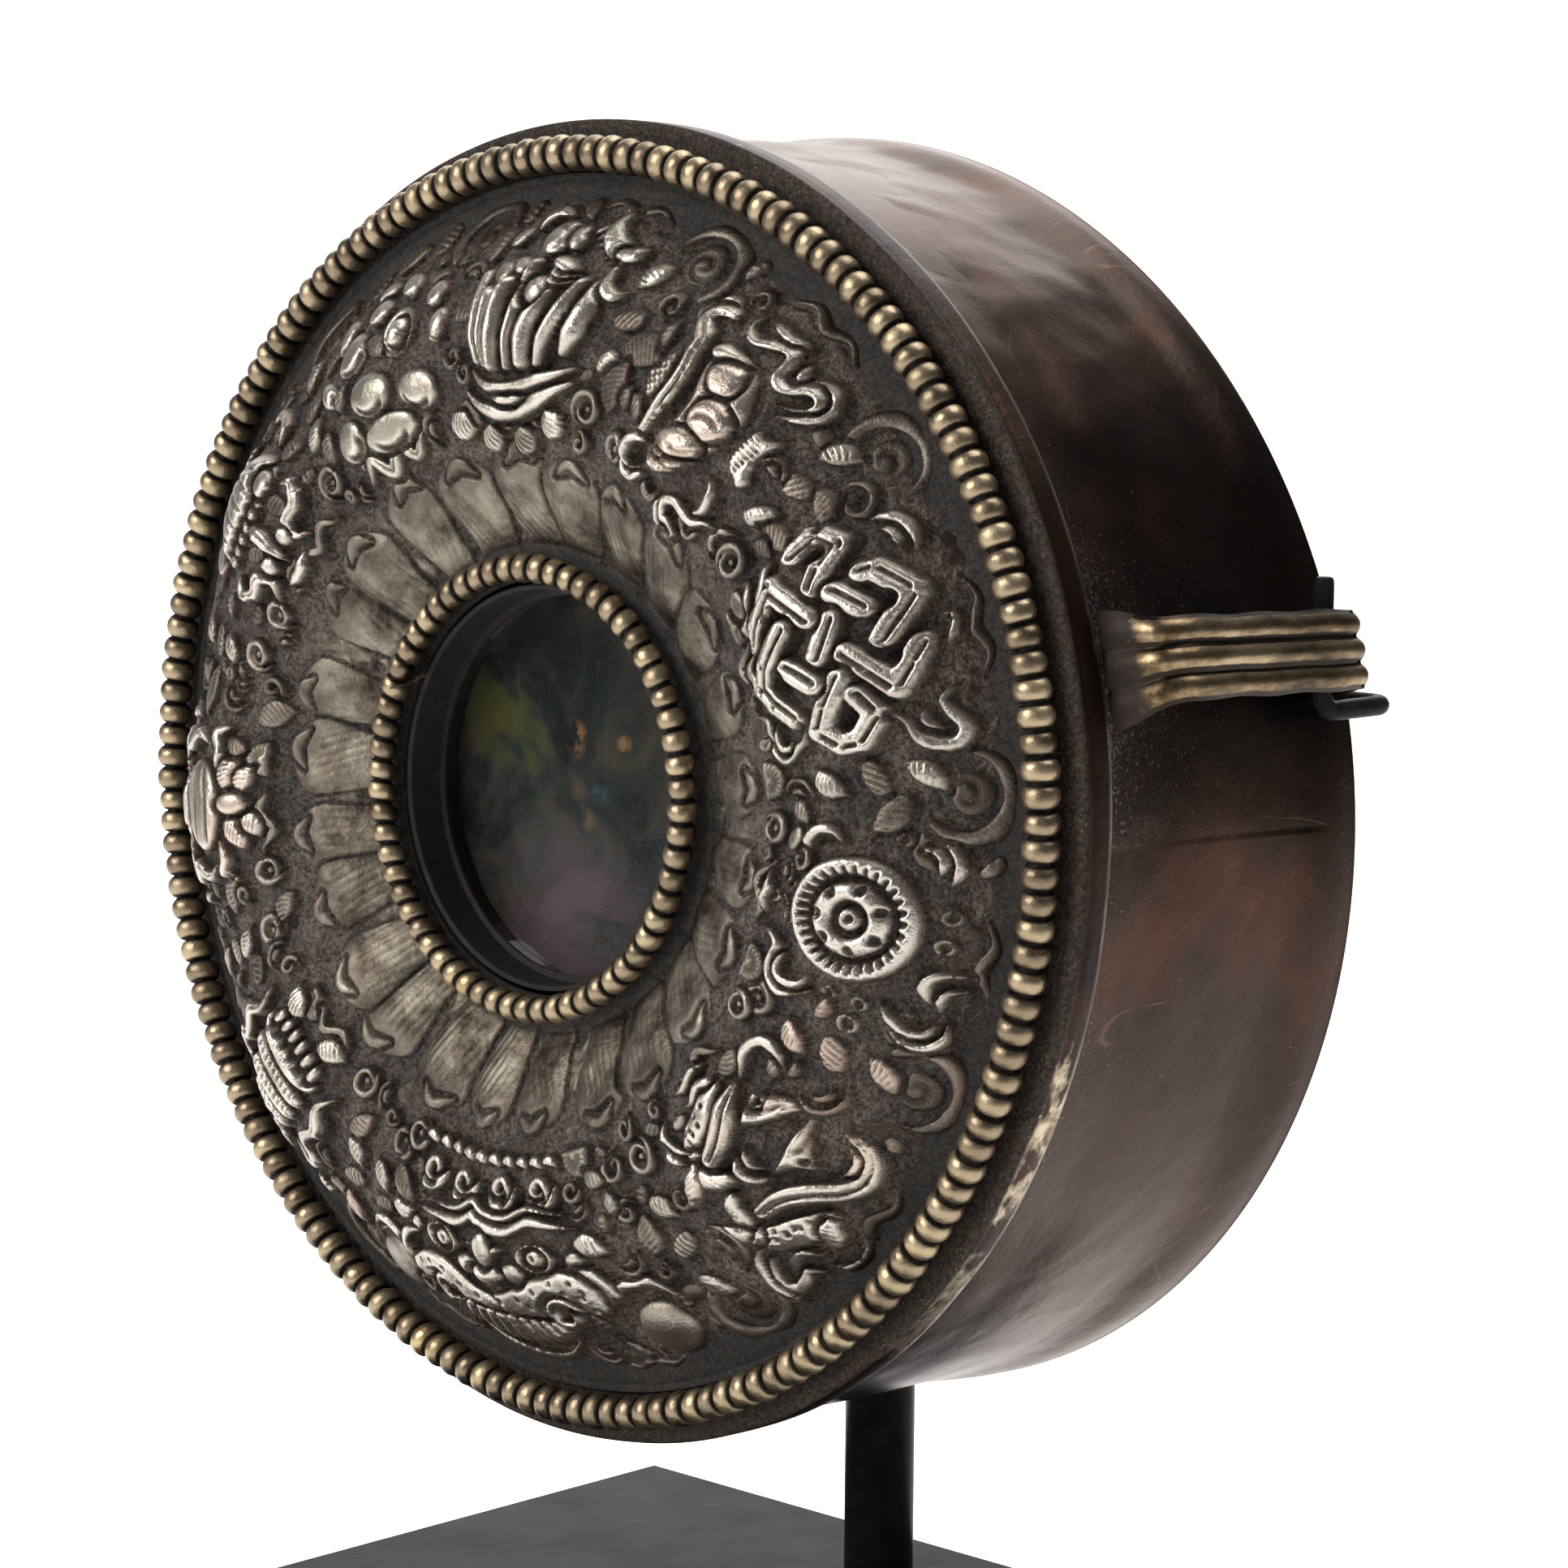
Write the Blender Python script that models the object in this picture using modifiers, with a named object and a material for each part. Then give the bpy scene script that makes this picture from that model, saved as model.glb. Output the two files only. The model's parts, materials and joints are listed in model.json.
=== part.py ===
"""A round repousse amulet box (ga'u) hung on a painted museum stand.

Frame: metres, +Z up, +X to the viewer's right, -Y is the front.  The origin is
the centre of the underside of the felt pad, straight below the box.

The box is built about its own axis.  Its turned pieces are drawn as profiles of
(radius, height), where height counts forward from the plane that holds the centre
line of the outer beaded wire, and the whole box hangs with its face tipped up a
little.  The lid (the ornamented face with its rim) pulls forward off the case, and
the case lifts up off the two hooks of the stand.
"""

import math

import bpy
from mathutils import Matrix, Vector

# ------------------------------------------------------------ driving dimensions
GAP = 0.0003                # clearance between pieces that touch
SHEET = 0.0006              # rim and lip sheet metal
RING_STEPS = 64             # facets round the large turned pieces
WINDOW_STEPS = 48           # facets round the window's pieces

# stand
BASE_SIDE = 0.1524
BASE_THICKNESS = 0.006
FELT_THICKNESS = 0.0012
FELT_INSET = 0.002
STAND_X = -0.0034           # the box hangs a little to the right of its post
POST_Y = 0.045
POST_DIAMETER = 0.0095
WIRE_DIAMETER = 0.0024
WIRE_BEND = 0.0025          # centre-line radius of the wire's bends
HOOK_X = 0.0834
HOOK_Y = 0.0256
HOOK_RISE = 0.0159          # upright part of a hook above the cross bar
BAR_Y = 0.0387

# box
DRUM_Y = -0.0174
DRUM_Z = 0.1284
DRUM_TILT = math.radians(1.66)      # the face looks up by this much
WALL_RADIUS = 0.0810
WALL_THICKNESS = 0.0010
RIM_RADIUS = 0.08185
RIM_DEPTH = 0.0046          # how far the lid's skirt reaches back over the wall
FLANGE_HEIGHT = -0.0026     # front face of the rim, behind the beaded wire's centre
BACK_HEIGHT = -0.0530       # rear face of the box
BACK_SLANT = 0.062          # the back is this much out of parallel, deeper below
BACK_LIP = 0.0022
BEAD_RING_RADIUS = 0.0775
BEAD_RADIUS = 0.0023

# face plate
PLATE_THICKNESS = 0.0007
PLATE_OUTER = 0.0752
PLATE_INNER = 0.0256
PLATE_FOOT = -0.0016        # height of the plate's outer edge
PLATE_SILL = 0.0040         # height of the plate beside the window
DOME_HEIGHT = 0.0108
DOME_START = 0.0300
DOME_END = 0.0735
DOME_POINTS = 9

# window
WINDOW_RING_RADIUS = 0.0271
WINDOW_BEAD_RADIUS = 0.00185
WINDOW_RING_HEIGHT = 0.00625
COLLAR_RADIUS = 0.0251
COLLAR_WALL = 0.0007
COLLAR_REAR = -0.0085
SEAT_RADIUS = 0.0236
SEAT_HEIGHT = -0.0010
GLASS_RADIUS = 0.0241
GLASS_THICKNESS = 0.0020
CARD_THICKNESS = 0.0004
BACKING_THICKNESS = 0.0015
RETAINER_WIRE = 0.0005

# strap loops
LOOP_ANGLE = math.radians(14.0)
LOOP_WIDTH = 0.0096
LOOP_THICKNESS = 0.0012
LOOP_RADIUS = 0.0896        # middle of the strap's thickness
LOOP_FRONT = 0.0084         # front foot and rear leg, behind the bead plane
LOOP_REAR = 0.0452

# contents
ROLL_RADIUS = 0.0095
ROLL_LENGTH = 0.036
TIE_WIRE = 0.0007


# --------------------------------------------------------------------- helpers
def clear_scene():
    """Remove whatever the scene holds."""
    for old in list(bpy.data.objects):
        bpy.data.objects.remove(old, do_unlink=True)


def collection(name):
    """A collection of this name in the scene."""
    group = bpy.data.collections.new(name)
    bpy.context.scene.collection.children.link(group)
    return group


def material(name, colour, roughness, metallic=0.0, transmission=0.0):
    """A Principled material."""
    mat = bpy.data.materials.new(name)
    mat.use_nodes = True
    shader = mat.node_tree.nodes["Principled BSDF"]
    shader.inputs["Base Color"].default_value = (*colour, 1.0)
    shader.inputs["Roughness"].default_value = roughness
    shader.inputs["Metallic"].default_value = metallic
    shader.inputs["Transmission Weight"].default_value = transmission
    return mat


def add(name, data, mat, group, parent=None):
    """A new object holding this mesh or curve."""
    obj = bpy.data.objects.new(name, data)
    if mat is not None:
        data.materials.append(mat)
    group.objects.link(obj)
    obj.parent = parent
    return obj


def empty(name, location, group, parent=None):
    """An empty that carries a moving body and marks its joint."""
    obj = bpy.data.objects.new(name, None)
    obj.empty_display_size = 0.02
    obj.location = location
    obj.parent = parent
    group.objects.link(obj)
    return obj


def smooth(mesh, angle=35.0):
    """Smooth shading with sharp edges where the surface turns by more."""
    mesh.shade_smooth()
    mesh.set_sharp_from_angle(angle=math.radians(angle))


def evaluated_mesh(obj):
    """A copy of the object's mesh with its modifiers applied."""
    bpy.context.view_layer.update()
    graph = bpy.context.evaluated_depsgraph_get()
    return bpy.data.meshes.new_from_object(obj.evaluated_get(graph), depsgraph=graph)


def turned(name, profile, steps, mat, group, parent, closed=True):
    """Turn a profile of (radius, height) about the box's axis, facing forward."""
    mesh = bpy.data.meshes.new(name)
    count = len(profile)
    edges = [(i, i + 1) for i in range(count - 1)]
    if closed and profile[0][0] > 0:
        edges.append((count - 1, 0))
    mesh.from_pydata([(radius, 0.0, height) for radius, height in profile], edges, [])
    obj = add(name, mesh, mat, group, parent)
    obj.rotation_euler = (math.pi / 2, 0.0, 0.0)
    screw = obj.modifiers.new("turn", "SCREW")
    screw.axis = "Z"
    screw.angle = 2 * math.pi
    screw.steps = steps
    screw.render_steps = steps
    screw.use_merge_vertices = True
    screw.merge_threshold = 0.00001
    return obj


def solidify(obj, thickness, offset=-1.0):
    """Give an open surface its thickness."""
    shell = obj.modifiers.new("sheet", "SOLIDIFY")
    shell.thickness = thickness
    shell.offset = offset
    shell.use_even_offset = True


def torus(name, radius, wire, height, steps, sides, mat, group, parent):
    """A ring of round wire about the box's axis."""
    bpy.ops.mesh.primitive_torus_add(major_radius=radius, minor_radius=wire,
                                     major_segments=steps, minor_segments=sides)
    obj = bpy.context.object
    for user in list(obj.users_collection):
        user.objects.unlink(obj)
    group.objects.link(obj)
    obj.name = name
    obj.data.name = name
    obj.data.materials.append(mat)
    obj.parent = parent
    obj.rotation_euler = (math.pi / 2, 0.0, 0.0)
    obj.location = (0.0, -height, 0.0)
    smooth(obj.data, 60)
    return obj


def solid_cylinder(name, radius, length, steps, mat, group, parent):
    """A cylinder primitive along its own Z, centred on its origin."""
    bpy.ops.mesh.primitive_cylinder_add(radius=radius, depth=length, vertices=steps)
    obj = bpy.context.object
    for user in list(obj.users_collection):
        user.objects.unlink(obj)
    group.objects.link(obj)
    obj.name = name
    obj.data.name = name
    if mat is not None:
        obj.data.materials.append(mat)
    obj.parent = parent
    smooth(obj.data)
    return obj


def disc(name, radius, front, thickness, mat, group, parent):
    """A flat disc across the box's axis, its front face at this height."""
    obj = solid_cylinder(name, radius, thickness, WINDOW_STEPS, mat, group, parent)
    obj.rotation_euler = (math.pi / 2, 0.0, 0.0)
    obj.location = (0.0, -(front - thickness / 2), 0.0)
    return obj


def box(name, size, centre, mat, group, parent=None, bevel=0.0):
    """A block with its edges eased."""
    bpy.ops.mesh.primitive_cube_add(size=1.0)
    obj = bpy.context.object
    for user in list(obj.users_collection):
        user.objects.unlink(obj)
    group.objects.link(obj)
    obj.name = name
    obj.data.name = name
    obj.data.transform(Matrix.Diagonal((*size, 1.0)))
    obj.data.materials.append(mat)
    obj.location = centre
    obj.parent = parent
    if bevel > 0:
        ease = obj.modifiers.new("ease", "BEVEL")
        ease.width = bevel
        ease.segments = 2
        ease.limit_method = "ANGLE"
    return obj


def cut(obj, cutter):
    """Cut one object out of another."""
    cutter.hide_render = True
    cutter.display_type = "WIRE"
    hole = obj.modifiers.new("cut", "BOOLEAN")
    hole.operation = "DIFFERENCE"
    hole.solver = "EXACT"
    hole.object = cutter


def fillet_path(corners, radius, steps=5):
    """Round each inner corner of a path of straight runs."""
    points = [corners[0]]
    for before, corner, after in zip(corners, corners[1:], corners[2:]):
        first = (before - corner).normalized()
        second = (after - corner).normalized()
        half = first.angle(second) / 2
        reach = radius / math.tan(half)
        centre = corner + (first + second).normalized() * radius / math.sin(half)
        start = corner + first * reach - centre
        end = corner + second * reach - centre
        sweep = start.angle(end)
        for step in range(steps + 1):
            share = step / steps
            mixed = start * math.sin((1 - share) * sweep) + end * math.sin(share * sweep)
            points.append(centre + mixed / math.sin(sweep))
    points.append(corners[-1])
    return points


def wire(name, points, diameter, mat, group, parent=None):
    """A round wire with closed ends along these points."""
    curve = bpy.data.curves.new(name, "CURVE")
    curve.dimensions = "3D"
    curve.bevel_depth = diameter / 2
    curve.bevel_resolution = 2
    curve.use_fill_caps = True
    spline = curve.splines.new("POLY")
    spline.points.add(len(points) - 1)
    for target, point in zip(spline.points, points):
        target.co = (*point, 1.0)
    return add(name, curve, mat, group, parent)


# ----------------------------------------------------------------------- stand
def build_stand(group, cutters, paint, felt, steel):
    """Base plate with felt, post held by a screw, and the bent hook wire."""
    base_bottom = FELT_THICKNESS + GAP
    base_top = base_bottom + BASE_THICKNESS
    felt_side = BASE_SIDE - 2 * FELT_INSET
    box("felt_pad", (felt_side, felt_side, FELT_THICKNESS),
        (STAND_X, 0.0, FELT_THICKNESS / 2), felt, group)
    base = box("base_plate", (BASE_SIDE, BASE_SIDE, BASE_THICKNESS),
               (STAND_X, 0.0, base_bottom + BASE_THICKNESS / 2), paint, group, bevel=0.0006)

    post_foot = base_top + GAP
    post_top = DRUM_Z + 0.018
    post = solid_cylinder("post", POST_DIAMETER / 2, post_top - post_foot, 24, paint,
                          group, None)
    post.location = (STAND_X, POST_Y, (post_foot + post_top) / 2)

    screw_radius = 0.0022
    head_radius = 0.0042
    head_height = 0.0022
    screw_top = post_foot + 0.012
    head = [(0.0, screw_top), (screw_radius, screw_top),
            (screw_radius, base_bottom + GAP + head_height),
            (head_radius, base_bottom + GAP), (0.0, base_bottom + GAP)]
    screw = turned("post_screw", head, 20, steel, group, None)
    screw.rotation_euler = (0.0, 0.0, 0.0)
    screw.location = (STAND_X, POST_Y, 0.0)

    hole_radius = screw_radius + GAP
    sink_radius = head_radius + GAP
    hole = [(0.0, screw_top + 0.002), (hole_radius, screw_top + 0.002),
            (hole_radius, base_bottom + GAP + head_height),
            (sink_radius, base_bottom + GAP), (sink_radius, base_bottom - 0.001),
            (0.0, base_bottom - 0.001)]
    drill = turned("screw_hole", hole, 20, None, cutters, None)
    drill.rotation_euler = (0.0, 0.0, 0.0)
    drill.location = (STAND_X, POST_Y, 0.0)
    cut(base, drill)
    cut(post, drill)

    bar_z = DRUM_Z + 0.0128
    hook_top = bar_z + HOOK_RISE
    corners = [Vector((HOOK_X, HOOK_Y, hook_top)), Vector((HOOK_X, HOOK_Y, bar_z)),
               Vector((HOOK_X, BAR_Y, bar_z)), Vector((-HOOK_X, BAR_Y, bar_z)),
               Vector((-HOOK_X, HOOK_Y, bar_z)), Vector((-HOOK_X, HOOK_Y, hook_top))]
    wire("hook_wire", fillet_path(corners, WIRE_BEND), WIRE_DIAMETER, paint, group)


# ------------------------------------------------------------------------ case
def slant_back(obj):
    """Lean the rear of a turned piece, so the box is deeper below than above."""
    mesh = evaluated_mesh(obj)
    obj.modifiers.clear()
    old = obj.data
    obj.data = mesh
    bpy.data.meshes.remove(old)
    for vertex in mesh.vertices:
        share = (vertex.co.z - FLANGE_HEIGHT) / (BACK_HEIGHT - FLANGE_HEIGHT)
        if share > 0.5:
            vertex.co.z += BACK_SLANT * vertex.co.y
    smooth(mesh)


def loop_outline():
    """Side view of a strap loop: its middle line, given thickness, as (radius, back)."""
    foot = WALL_RADIUS + GAP
    middle = [(foot, LOOP_FRONT), (foot + 0.0022, LOOP_FRONT + 0.0012),
              (foot + 0.0045, LOOP_FRONT + 0.0018)]
    bends = ((LOOP_RADIUS - 0.0028, LOOP_FRONT + 0.0050, 0.0028, 180.0),
             (LOOP_RADIUS - 0.0016, LOOP_REAR - 0.0016, 0.0016, 90.0))
    for radius, back, bend, start in bends:
        for step in range(5):
            angle = math.radians(start - 22.5 * step)
            middle.append((radius + bend * math.sin(angle), back + bend * math.cos(angle)))
    middle.append((foot, LOOP_REAR))
    outer = []
    inner = []
    for index, (radius, back) in enumerate(middle):
        before = middle[max(index - 1, 0)]
        after = middle[min(index + 1, len(middle) - 1)]
        run = Vector((after[0] - before[0], after[1] - before[1])).normalized()
        side = Vector((run.y, -run.x)) * LOOP_THICKNESS / 2
        if index == 0 or index == len(middle) - 1:
            side.x = 0.0
        outer.append((radius + side.x, back + side.y))
        inner.append((radius - side.x, back - side.y))
    return outer + inner[::-1]


def strap_loop(name, side, mat, group, parent):
    """A strap loop standing off the case wall, on the right (+1) or left (-1)."""
    curve = bpy.data.curves.new(name, "CURVE")
    curve.dimensions = "2D"
    curve.fill_mode = "BOTH"
    curve.extrude = LOOP_WIDTH / 2
    spline = curve.splines.new("POLY")
    outline = loop_outline()
    spline.points.add(len(outline) - 1)
    for target, (radius, back) in zip(spline.points, outline):
        target.co = (side * radius, back, 0.0, 1.0)
    spline.use_cyclic_u = True
    loop = add(name, curve, mat, group, parent)
    loop.rotation_euler = (0.0, -side * LOOP_ANGLE, 0.0)
    return loop


def build_case(group, parent, copper, brass, paper, thread):
    """The hammered case: wall, back, the two strap loops and what it carries."""
    wall_front = FLANGE_HEIGHT - SHEET - GAP
    back_inside = BACK_HEIGHT + SHEET
    inner = WALL_RADIUS - WALL_THICKNESS
    wall = turned("case_wall", [(inner, wall_front), (WALL_RADIUS, wall_front),
                                (WALL_RADIUS, back_inside + GAP),
                                (inner, back_inside + GAP)],
                  RING_STEPS, copper, group, parent)
    slant_back(wall)

    lip_inner = RIM_RADIUS - SHEET
    lip_front = BACK_HEIGHT + BACK_LIP
    back = turned("case_back", [(0.0, back_inside), (lip_inner, back_inside),
                                (lip_inner, lip_front), (RIM_RADIUS, lip_front),
                                (RIM_RADIUS, BACK_HEIGHT), (0.0, BACK_HEIGHT)],
                  RING_STEPS, copper, group, parent)
    slant_back(back)

    strap_loop("strap_loop_right", 1, brass, group, parent)
    strap_loop("strap_loop_left", -1, brass, group, parent)

    roll_z = -(inner - ROLL_RADIUS - 2 * TIE_WIRE - 2 * GAP)
    roll_y = 0.0290
    roll = solid_cylinder("prayer_roll", ROLL_RADIUS, ROLL_LENGTH, 24, paper, group, parent)
    roll.rotation_euler = (math.pi / 2, 0.0, 0.0)
    roll.location = (0.0, roll_y, roll_z)
    tie = torus("roll_tie", ROLL_RADIUS + GAP + TIE_WIRE, TIE_WIRE, 0.0, 24, 6, thread,
                group, parent)
    tie.location = (0.0, roll_y, roll_z)


# ------------------------------------------------------------------------- lid
def dome_height(radius):
    """Height of the face plate at this radius: sill, dome, then the outer foot."""
    share = min(max((radius - DOME_START) / (DOME_END - DOME_START), 0.0), 1.0)
    slope = PLATE_SILL + (PLATE_FOOT - PLATE_SILL) * share
    crown = DOME_HEIGHT - (PLATE_SILL + PLATE_FOOT) / 2
    return slope + crown * math.sin(math.pi * share) ** 0.8


def build_face(group, parent, silver, copper, brass):
    """Rim with its skirt, the domed plate and the beaded wire round it."""
    skirt_rear = FLANGE_HEIGHT - RIM_DEPTH
    skirt_inner = RIM_RADIUS - SHEET
    rim = turned("front_rim", [(0.0700, FLANGE_HEIGHT), (skirt_inner, FLANGE_HEIGHT),
                               (RIM_RADIUS, FLANGE_HEIGHT - SHEET), (RIM_RADIUS, skirt_rear),
                               (skirt_inner, skirt_rear), (skirt_inner, FLANGE_HEIGHT - SHEET),
                               (0.0700, FLANGE_HEIGHT - SHEET)],
                 RING_STEPS, copper, group, parent)
    smooth_turned(rim)

    profile = [(PLATE_INNER, PLATE_SILL)]
    for step in range(DOME_POINTS + 1):
        radius = DOME_START + (DOME_END - DOME_START) * step / DOME_POINTS
        profile.append((radius, dome_height(radius)))
    profile.append((PLATE_OUTER, PLATE_FOOT))
    plate = turned("face_plate", profile, RING_STEPS, silver, group, parent, closed=False)
    solidify(plate, PLATE_THICKNESS)
    smooth_turned(plate)

    torus("outer_beaded_wire", BEAD_RING_RADIUS, BEAD_RADIUS, 0.0, RING_STEPS, 8, brass,
          group, parent)


def smooth_turned(obj):
    """Shade a turned piece smooth where the Screw modifier makes its faces."""
    obj.modifiers["turn"].use_smooth_shade = True


def build_window(group, parent, copper, brass, glass, card, board):
    """The window: beaded wire, collar with its seat, glass, image, backing, retainer."""
    torus("inner_beaded_wire", WINDOW_RING_RADIUS, WINDOW_BEAD_RADIUS, WINDOW_RING_HEIGHT,
          WINDOW_STEPS, 8, brass, group, parent)
    bore = COLLAR_RADIUS - COLLAR_WALL
    seat_rear = SEAT_HEIGHT - SHEET
    collar = turned("window_collar", [(bore, PLATE_SILL), (COLLAR_RADIUS, PLATE_SILL),
                                      (COLLAR_RADIUS, COLLAR_REAR), (bore, COLLAR_REAR),
                                      (bore, seat_rear), (SEAT_RADIUS, seat_rear),
                                      (SEAT_RADIUS, SEAT_HEIGHT), (bore, SEAT_HEIGHT)],
                    WINDOW_STEPS, copper, group, parent)
    smooth_turned(collar)

    front = seat_rear - GAP
    disc("window_glass", GLASS_RADIUS, front, GLASS_THICKNESS, glass, group, parent)
    front -= GLASS_THICKNESS + GAP
    disc("image_card", GLASS_RADIUS, front, CARD_THICKNESS, card, group, parent)
    front -= CARD_THICKNESS + GAP
    disc("backing_disc", GLASS_RADIUS, front, BACKING_THICKNESS, board, group, parent)
    front -= BACKING_THICKNESS + GAP
    torus("retaining_ring", bore - GAP - RETAINER_WIRE, RETAINER_WIRE, front - RETAINER_WIRE,
          WINDOW_STEPS, 6, brass, group, parent)


# ------------------------------------------------------------------------ main
def main():
    clear_scene()
    parts = collection("amulet_box")
    cutters = collection("cutters")

    paint = material("black_paint", (0.012, 0.012, 0.013), 0.45)
    felt = material("black_felt", (0.015, 0.015, 0.016), 0.95)
    steel = material("zinc_steel", (0.45, 0.45, 0.46), 0.35, 1.0)
    copper = material("dark_copper", (0.045, 0.026, 0.020), 0.42, 0.7)
    silver = material("tarnished_silver", (0.30, 0.27, 0.23), 0.35, 1.0)
    brass = material("aged_brass", (0.42, 0.33, 0.20), 0.32, 1.0)
    glass = material("window_glass", (0.90, 0.92, 0.92), 0.05, 0.0, 1.0)
    card = material("painted_card", (0.030, 0.034, 0.033), 0.6)
    board = material("grey_board", (0.20, 0.17, 0.13), 0.9)
    paper = material("prayer_paper", (0.55, 0.43, 0.27), 0.9)
    thread = material("red_thread", (0.30, 0.03, 0.02), 0.9)

    build_stand(parts, cutters, paint, felt, steel)

    case = empty("case_mount", (0.0, DRUM_Y, DRUM_Z), parts)
    case.rotation_euler = (-DRUM_TILT, 0.0, 0.0)
    build_case(parts, case, copper, brass, paper, thread)

    lid = empty("lid_mount", (0.0, 0.0, 0.0), parts, case)
    build_face(parts, lid, silver, copper, brass)
    build_window(parts, lid, copper, brass, glass, card, board)


main()
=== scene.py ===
"""Looks of a round amulet box with a repousse front, hung on a black display stand.

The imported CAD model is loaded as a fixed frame, and every piece here is built where that frame
says. The drum's own frame has its origin in the middle of the outer beaded wire: x to the right,
y up the front, z out of the front. Lengths in the drum's frame are in millimetres until place()
puts them in the world.
"""

import json
import math

import bpy
import numpy as np
from mathutils import Matrix, Vector


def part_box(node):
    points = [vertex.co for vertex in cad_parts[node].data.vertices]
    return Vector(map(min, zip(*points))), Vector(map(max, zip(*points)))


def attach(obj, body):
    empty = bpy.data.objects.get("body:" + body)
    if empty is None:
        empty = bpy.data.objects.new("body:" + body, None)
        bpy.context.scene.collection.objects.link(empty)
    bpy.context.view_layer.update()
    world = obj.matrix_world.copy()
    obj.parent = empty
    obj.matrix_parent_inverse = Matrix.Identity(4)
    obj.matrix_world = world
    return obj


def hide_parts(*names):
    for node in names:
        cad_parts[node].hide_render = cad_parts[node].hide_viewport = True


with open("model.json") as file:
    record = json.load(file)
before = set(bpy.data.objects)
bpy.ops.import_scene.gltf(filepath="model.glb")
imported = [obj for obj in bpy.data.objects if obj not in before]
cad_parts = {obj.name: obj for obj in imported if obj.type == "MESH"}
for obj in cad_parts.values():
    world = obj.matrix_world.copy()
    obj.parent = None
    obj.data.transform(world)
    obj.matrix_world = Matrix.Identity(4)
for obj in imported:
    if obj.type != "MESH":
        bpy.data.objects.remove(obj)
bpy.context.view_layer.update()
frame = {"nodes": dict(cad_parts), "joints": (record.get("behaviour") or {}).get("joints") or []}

MM = 0.001
SEED = 11


# ---------------------------------------------------------------- the drum's frame and sizes


def middle(node):
    """The middle of a CAD node's box."""
    low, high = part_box(node)
    return (low + high) / 2


def size(node):
    """The three sides of a CAD node's box, in millimetres."""
    low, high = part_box(node)
    return (high - low) / MM


OUT = Vector(next(j["axis"] for j in frame["joints"] if j["child"] == "lid")).normalized()
RIGHT = Vector((1, 0, 0))
UP = OUT.cross(RIGHT)
DRUM = middle("outer_beaded_wire")

BEAD_RADIUS = 2.3                       # outer beaded wire
BEAD_RING = size("outer_beaded_wire").x / 2 - BEAD_RADIUS
WINDOW_BEAD = 1.85                      # beaded wire round the window
WINDOW_RING = size("inner_beaded_wire").x / 2 - WINDOW_BEAD
WINDOW_RING_HEIGHT = (middle("inner_beaded_wire") - DRUM).dot(OUT) / MM
PLATE_OUTER = size("face_plate").x / 2
PLATE_INNER = 25.6
PLATE_SILL, PLATE_FOOT = 4.0, -1.6      # plate heights at the window and at the rim
DOME_START, DOME_END, DOME_HEIGHT = 30.0, 73.5, 10.8
RIM_RADIUS = size("front_rim").x / 2
WALL_RADIUS = size("case_wall").x / 2
SHEET = 0.6
FLANGE = -2.6                           # front face of the rim
SKIRT_REAR = -7.2
WALL_FRONT = -3.5
BACK = -53.0                            # rear face of the box, on its axis
BACK_LIP = 2.2
CARD_DEPTH = (middle("image_card") - DRUM).dot(OUT) / MM
BACK_SLANT = 0.062                      # the box is deeper below than above
LOOP_ANGLE = math.radians(14)
LOOP_WIDTH = 9.6
LOOP_RADIUS = 89.6
LOOP_FRONT, LOOP_REAR = 8.4, 45.2       # behind the bead plane


def place(points):
    """Points of the drum's frame, in millimetres, as world points in metres."""
    return np.array(DRUM) + MM * np.asarray(points) @ np.array([RIGHT, UP, OUT])


# ---------------------------------------------------------------- relief: curves and distances


def smooth(points, closed=False, steps=6):
    """A Catmull-Rom curve through the given points."""
    points = np.asarray(points, float)
    if len(points) < 3:
        share = np.linspace(0, 1, steps + 1)[:, None]
        return points[0] + share * (points[-1] - points[0])
    if closed:
        before, after = np.roll(points, 1, 0), np.roll(points, -1, 0)
        later = np.roll(points, -2, 0)
        starts = points
    else:
        padded = np.vstack([2 * points[0] - points[1], points, 2 * points[-1] - points[-2]])
        before, starts, after, later = padded[:-3], padded[1:-2], padded[2:-1], padded[3:]
    curve = []
    for t in np.arange(steps) / steps:
        curve.append(
            0.5 * (2 * starts + (after - before) * t + (2 * before - 5 * starts + 4 * after - later) * t**2
                   + (3 * starts - before - 3 * after + later) * t**3)
        )
    curve = np.stack(curve, 1).reshape(-1, 2)
    return curve if closed else np.vstack([curve, points[-1:]])


def to_path(x, y, path, closed=False):
    """Distance of each grid point to a path, the share of its length passed, and the side it is on."""
    starts = path if closed else path[:-1]
    ends = np.roll(path, -1, 0) if closed else path[1:]
    lengths = np.maximum(np.hypot(*(ends - starts).T), 1e-6)
    nearest = np.full(x.shape, 1e9)
    share = np.zeros(x.shape)
    side = np.zeros(x.shape)
    passed = 0.0
    for (ax, ay), (bx, by), length in zip(starts, ends, lengths):
        dx, dy = bx - ax, by - ay
        t = np.clip(((x - ax) * dx + (y - ay) * dy) / length**2, 0, 1)
        away_x, away_y = x - ax - t * dx, y - ay - t * dy
        away = np.hypot(away_x, away_y)
        closer = away < nearest
        nearest = np.where(closer, away, nearest)
        share = np.where(closer, (passed + t * length) / lengths.sum(), share)
        side = np.where(closer, np.sign(dx * away_y - dy * away_x), side)
        passed += length
    return nearest, share, side, lengths.sum()


def inside(x, y, outline):
    """Which grid points lie inside a closed outline."""
    odd = np.zeros(x.shape, bool)
    for (ax, ay), (bx, by) in zip(outline, np.roll(outline, -1, 0)):
        if ay != by:
            odd ^= ((ay > y) != (by > y)) & (x < ax + (y - ay) * (bx - ax) / (by - ay))
    return odd


def ease(value, low, high):
    """0 below low, 1 above high, and a smooth step between."""
    t = np.clip((value - low) / (high - low), 0, 1)
    return t * t * (3 - 2 * t)


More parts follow.
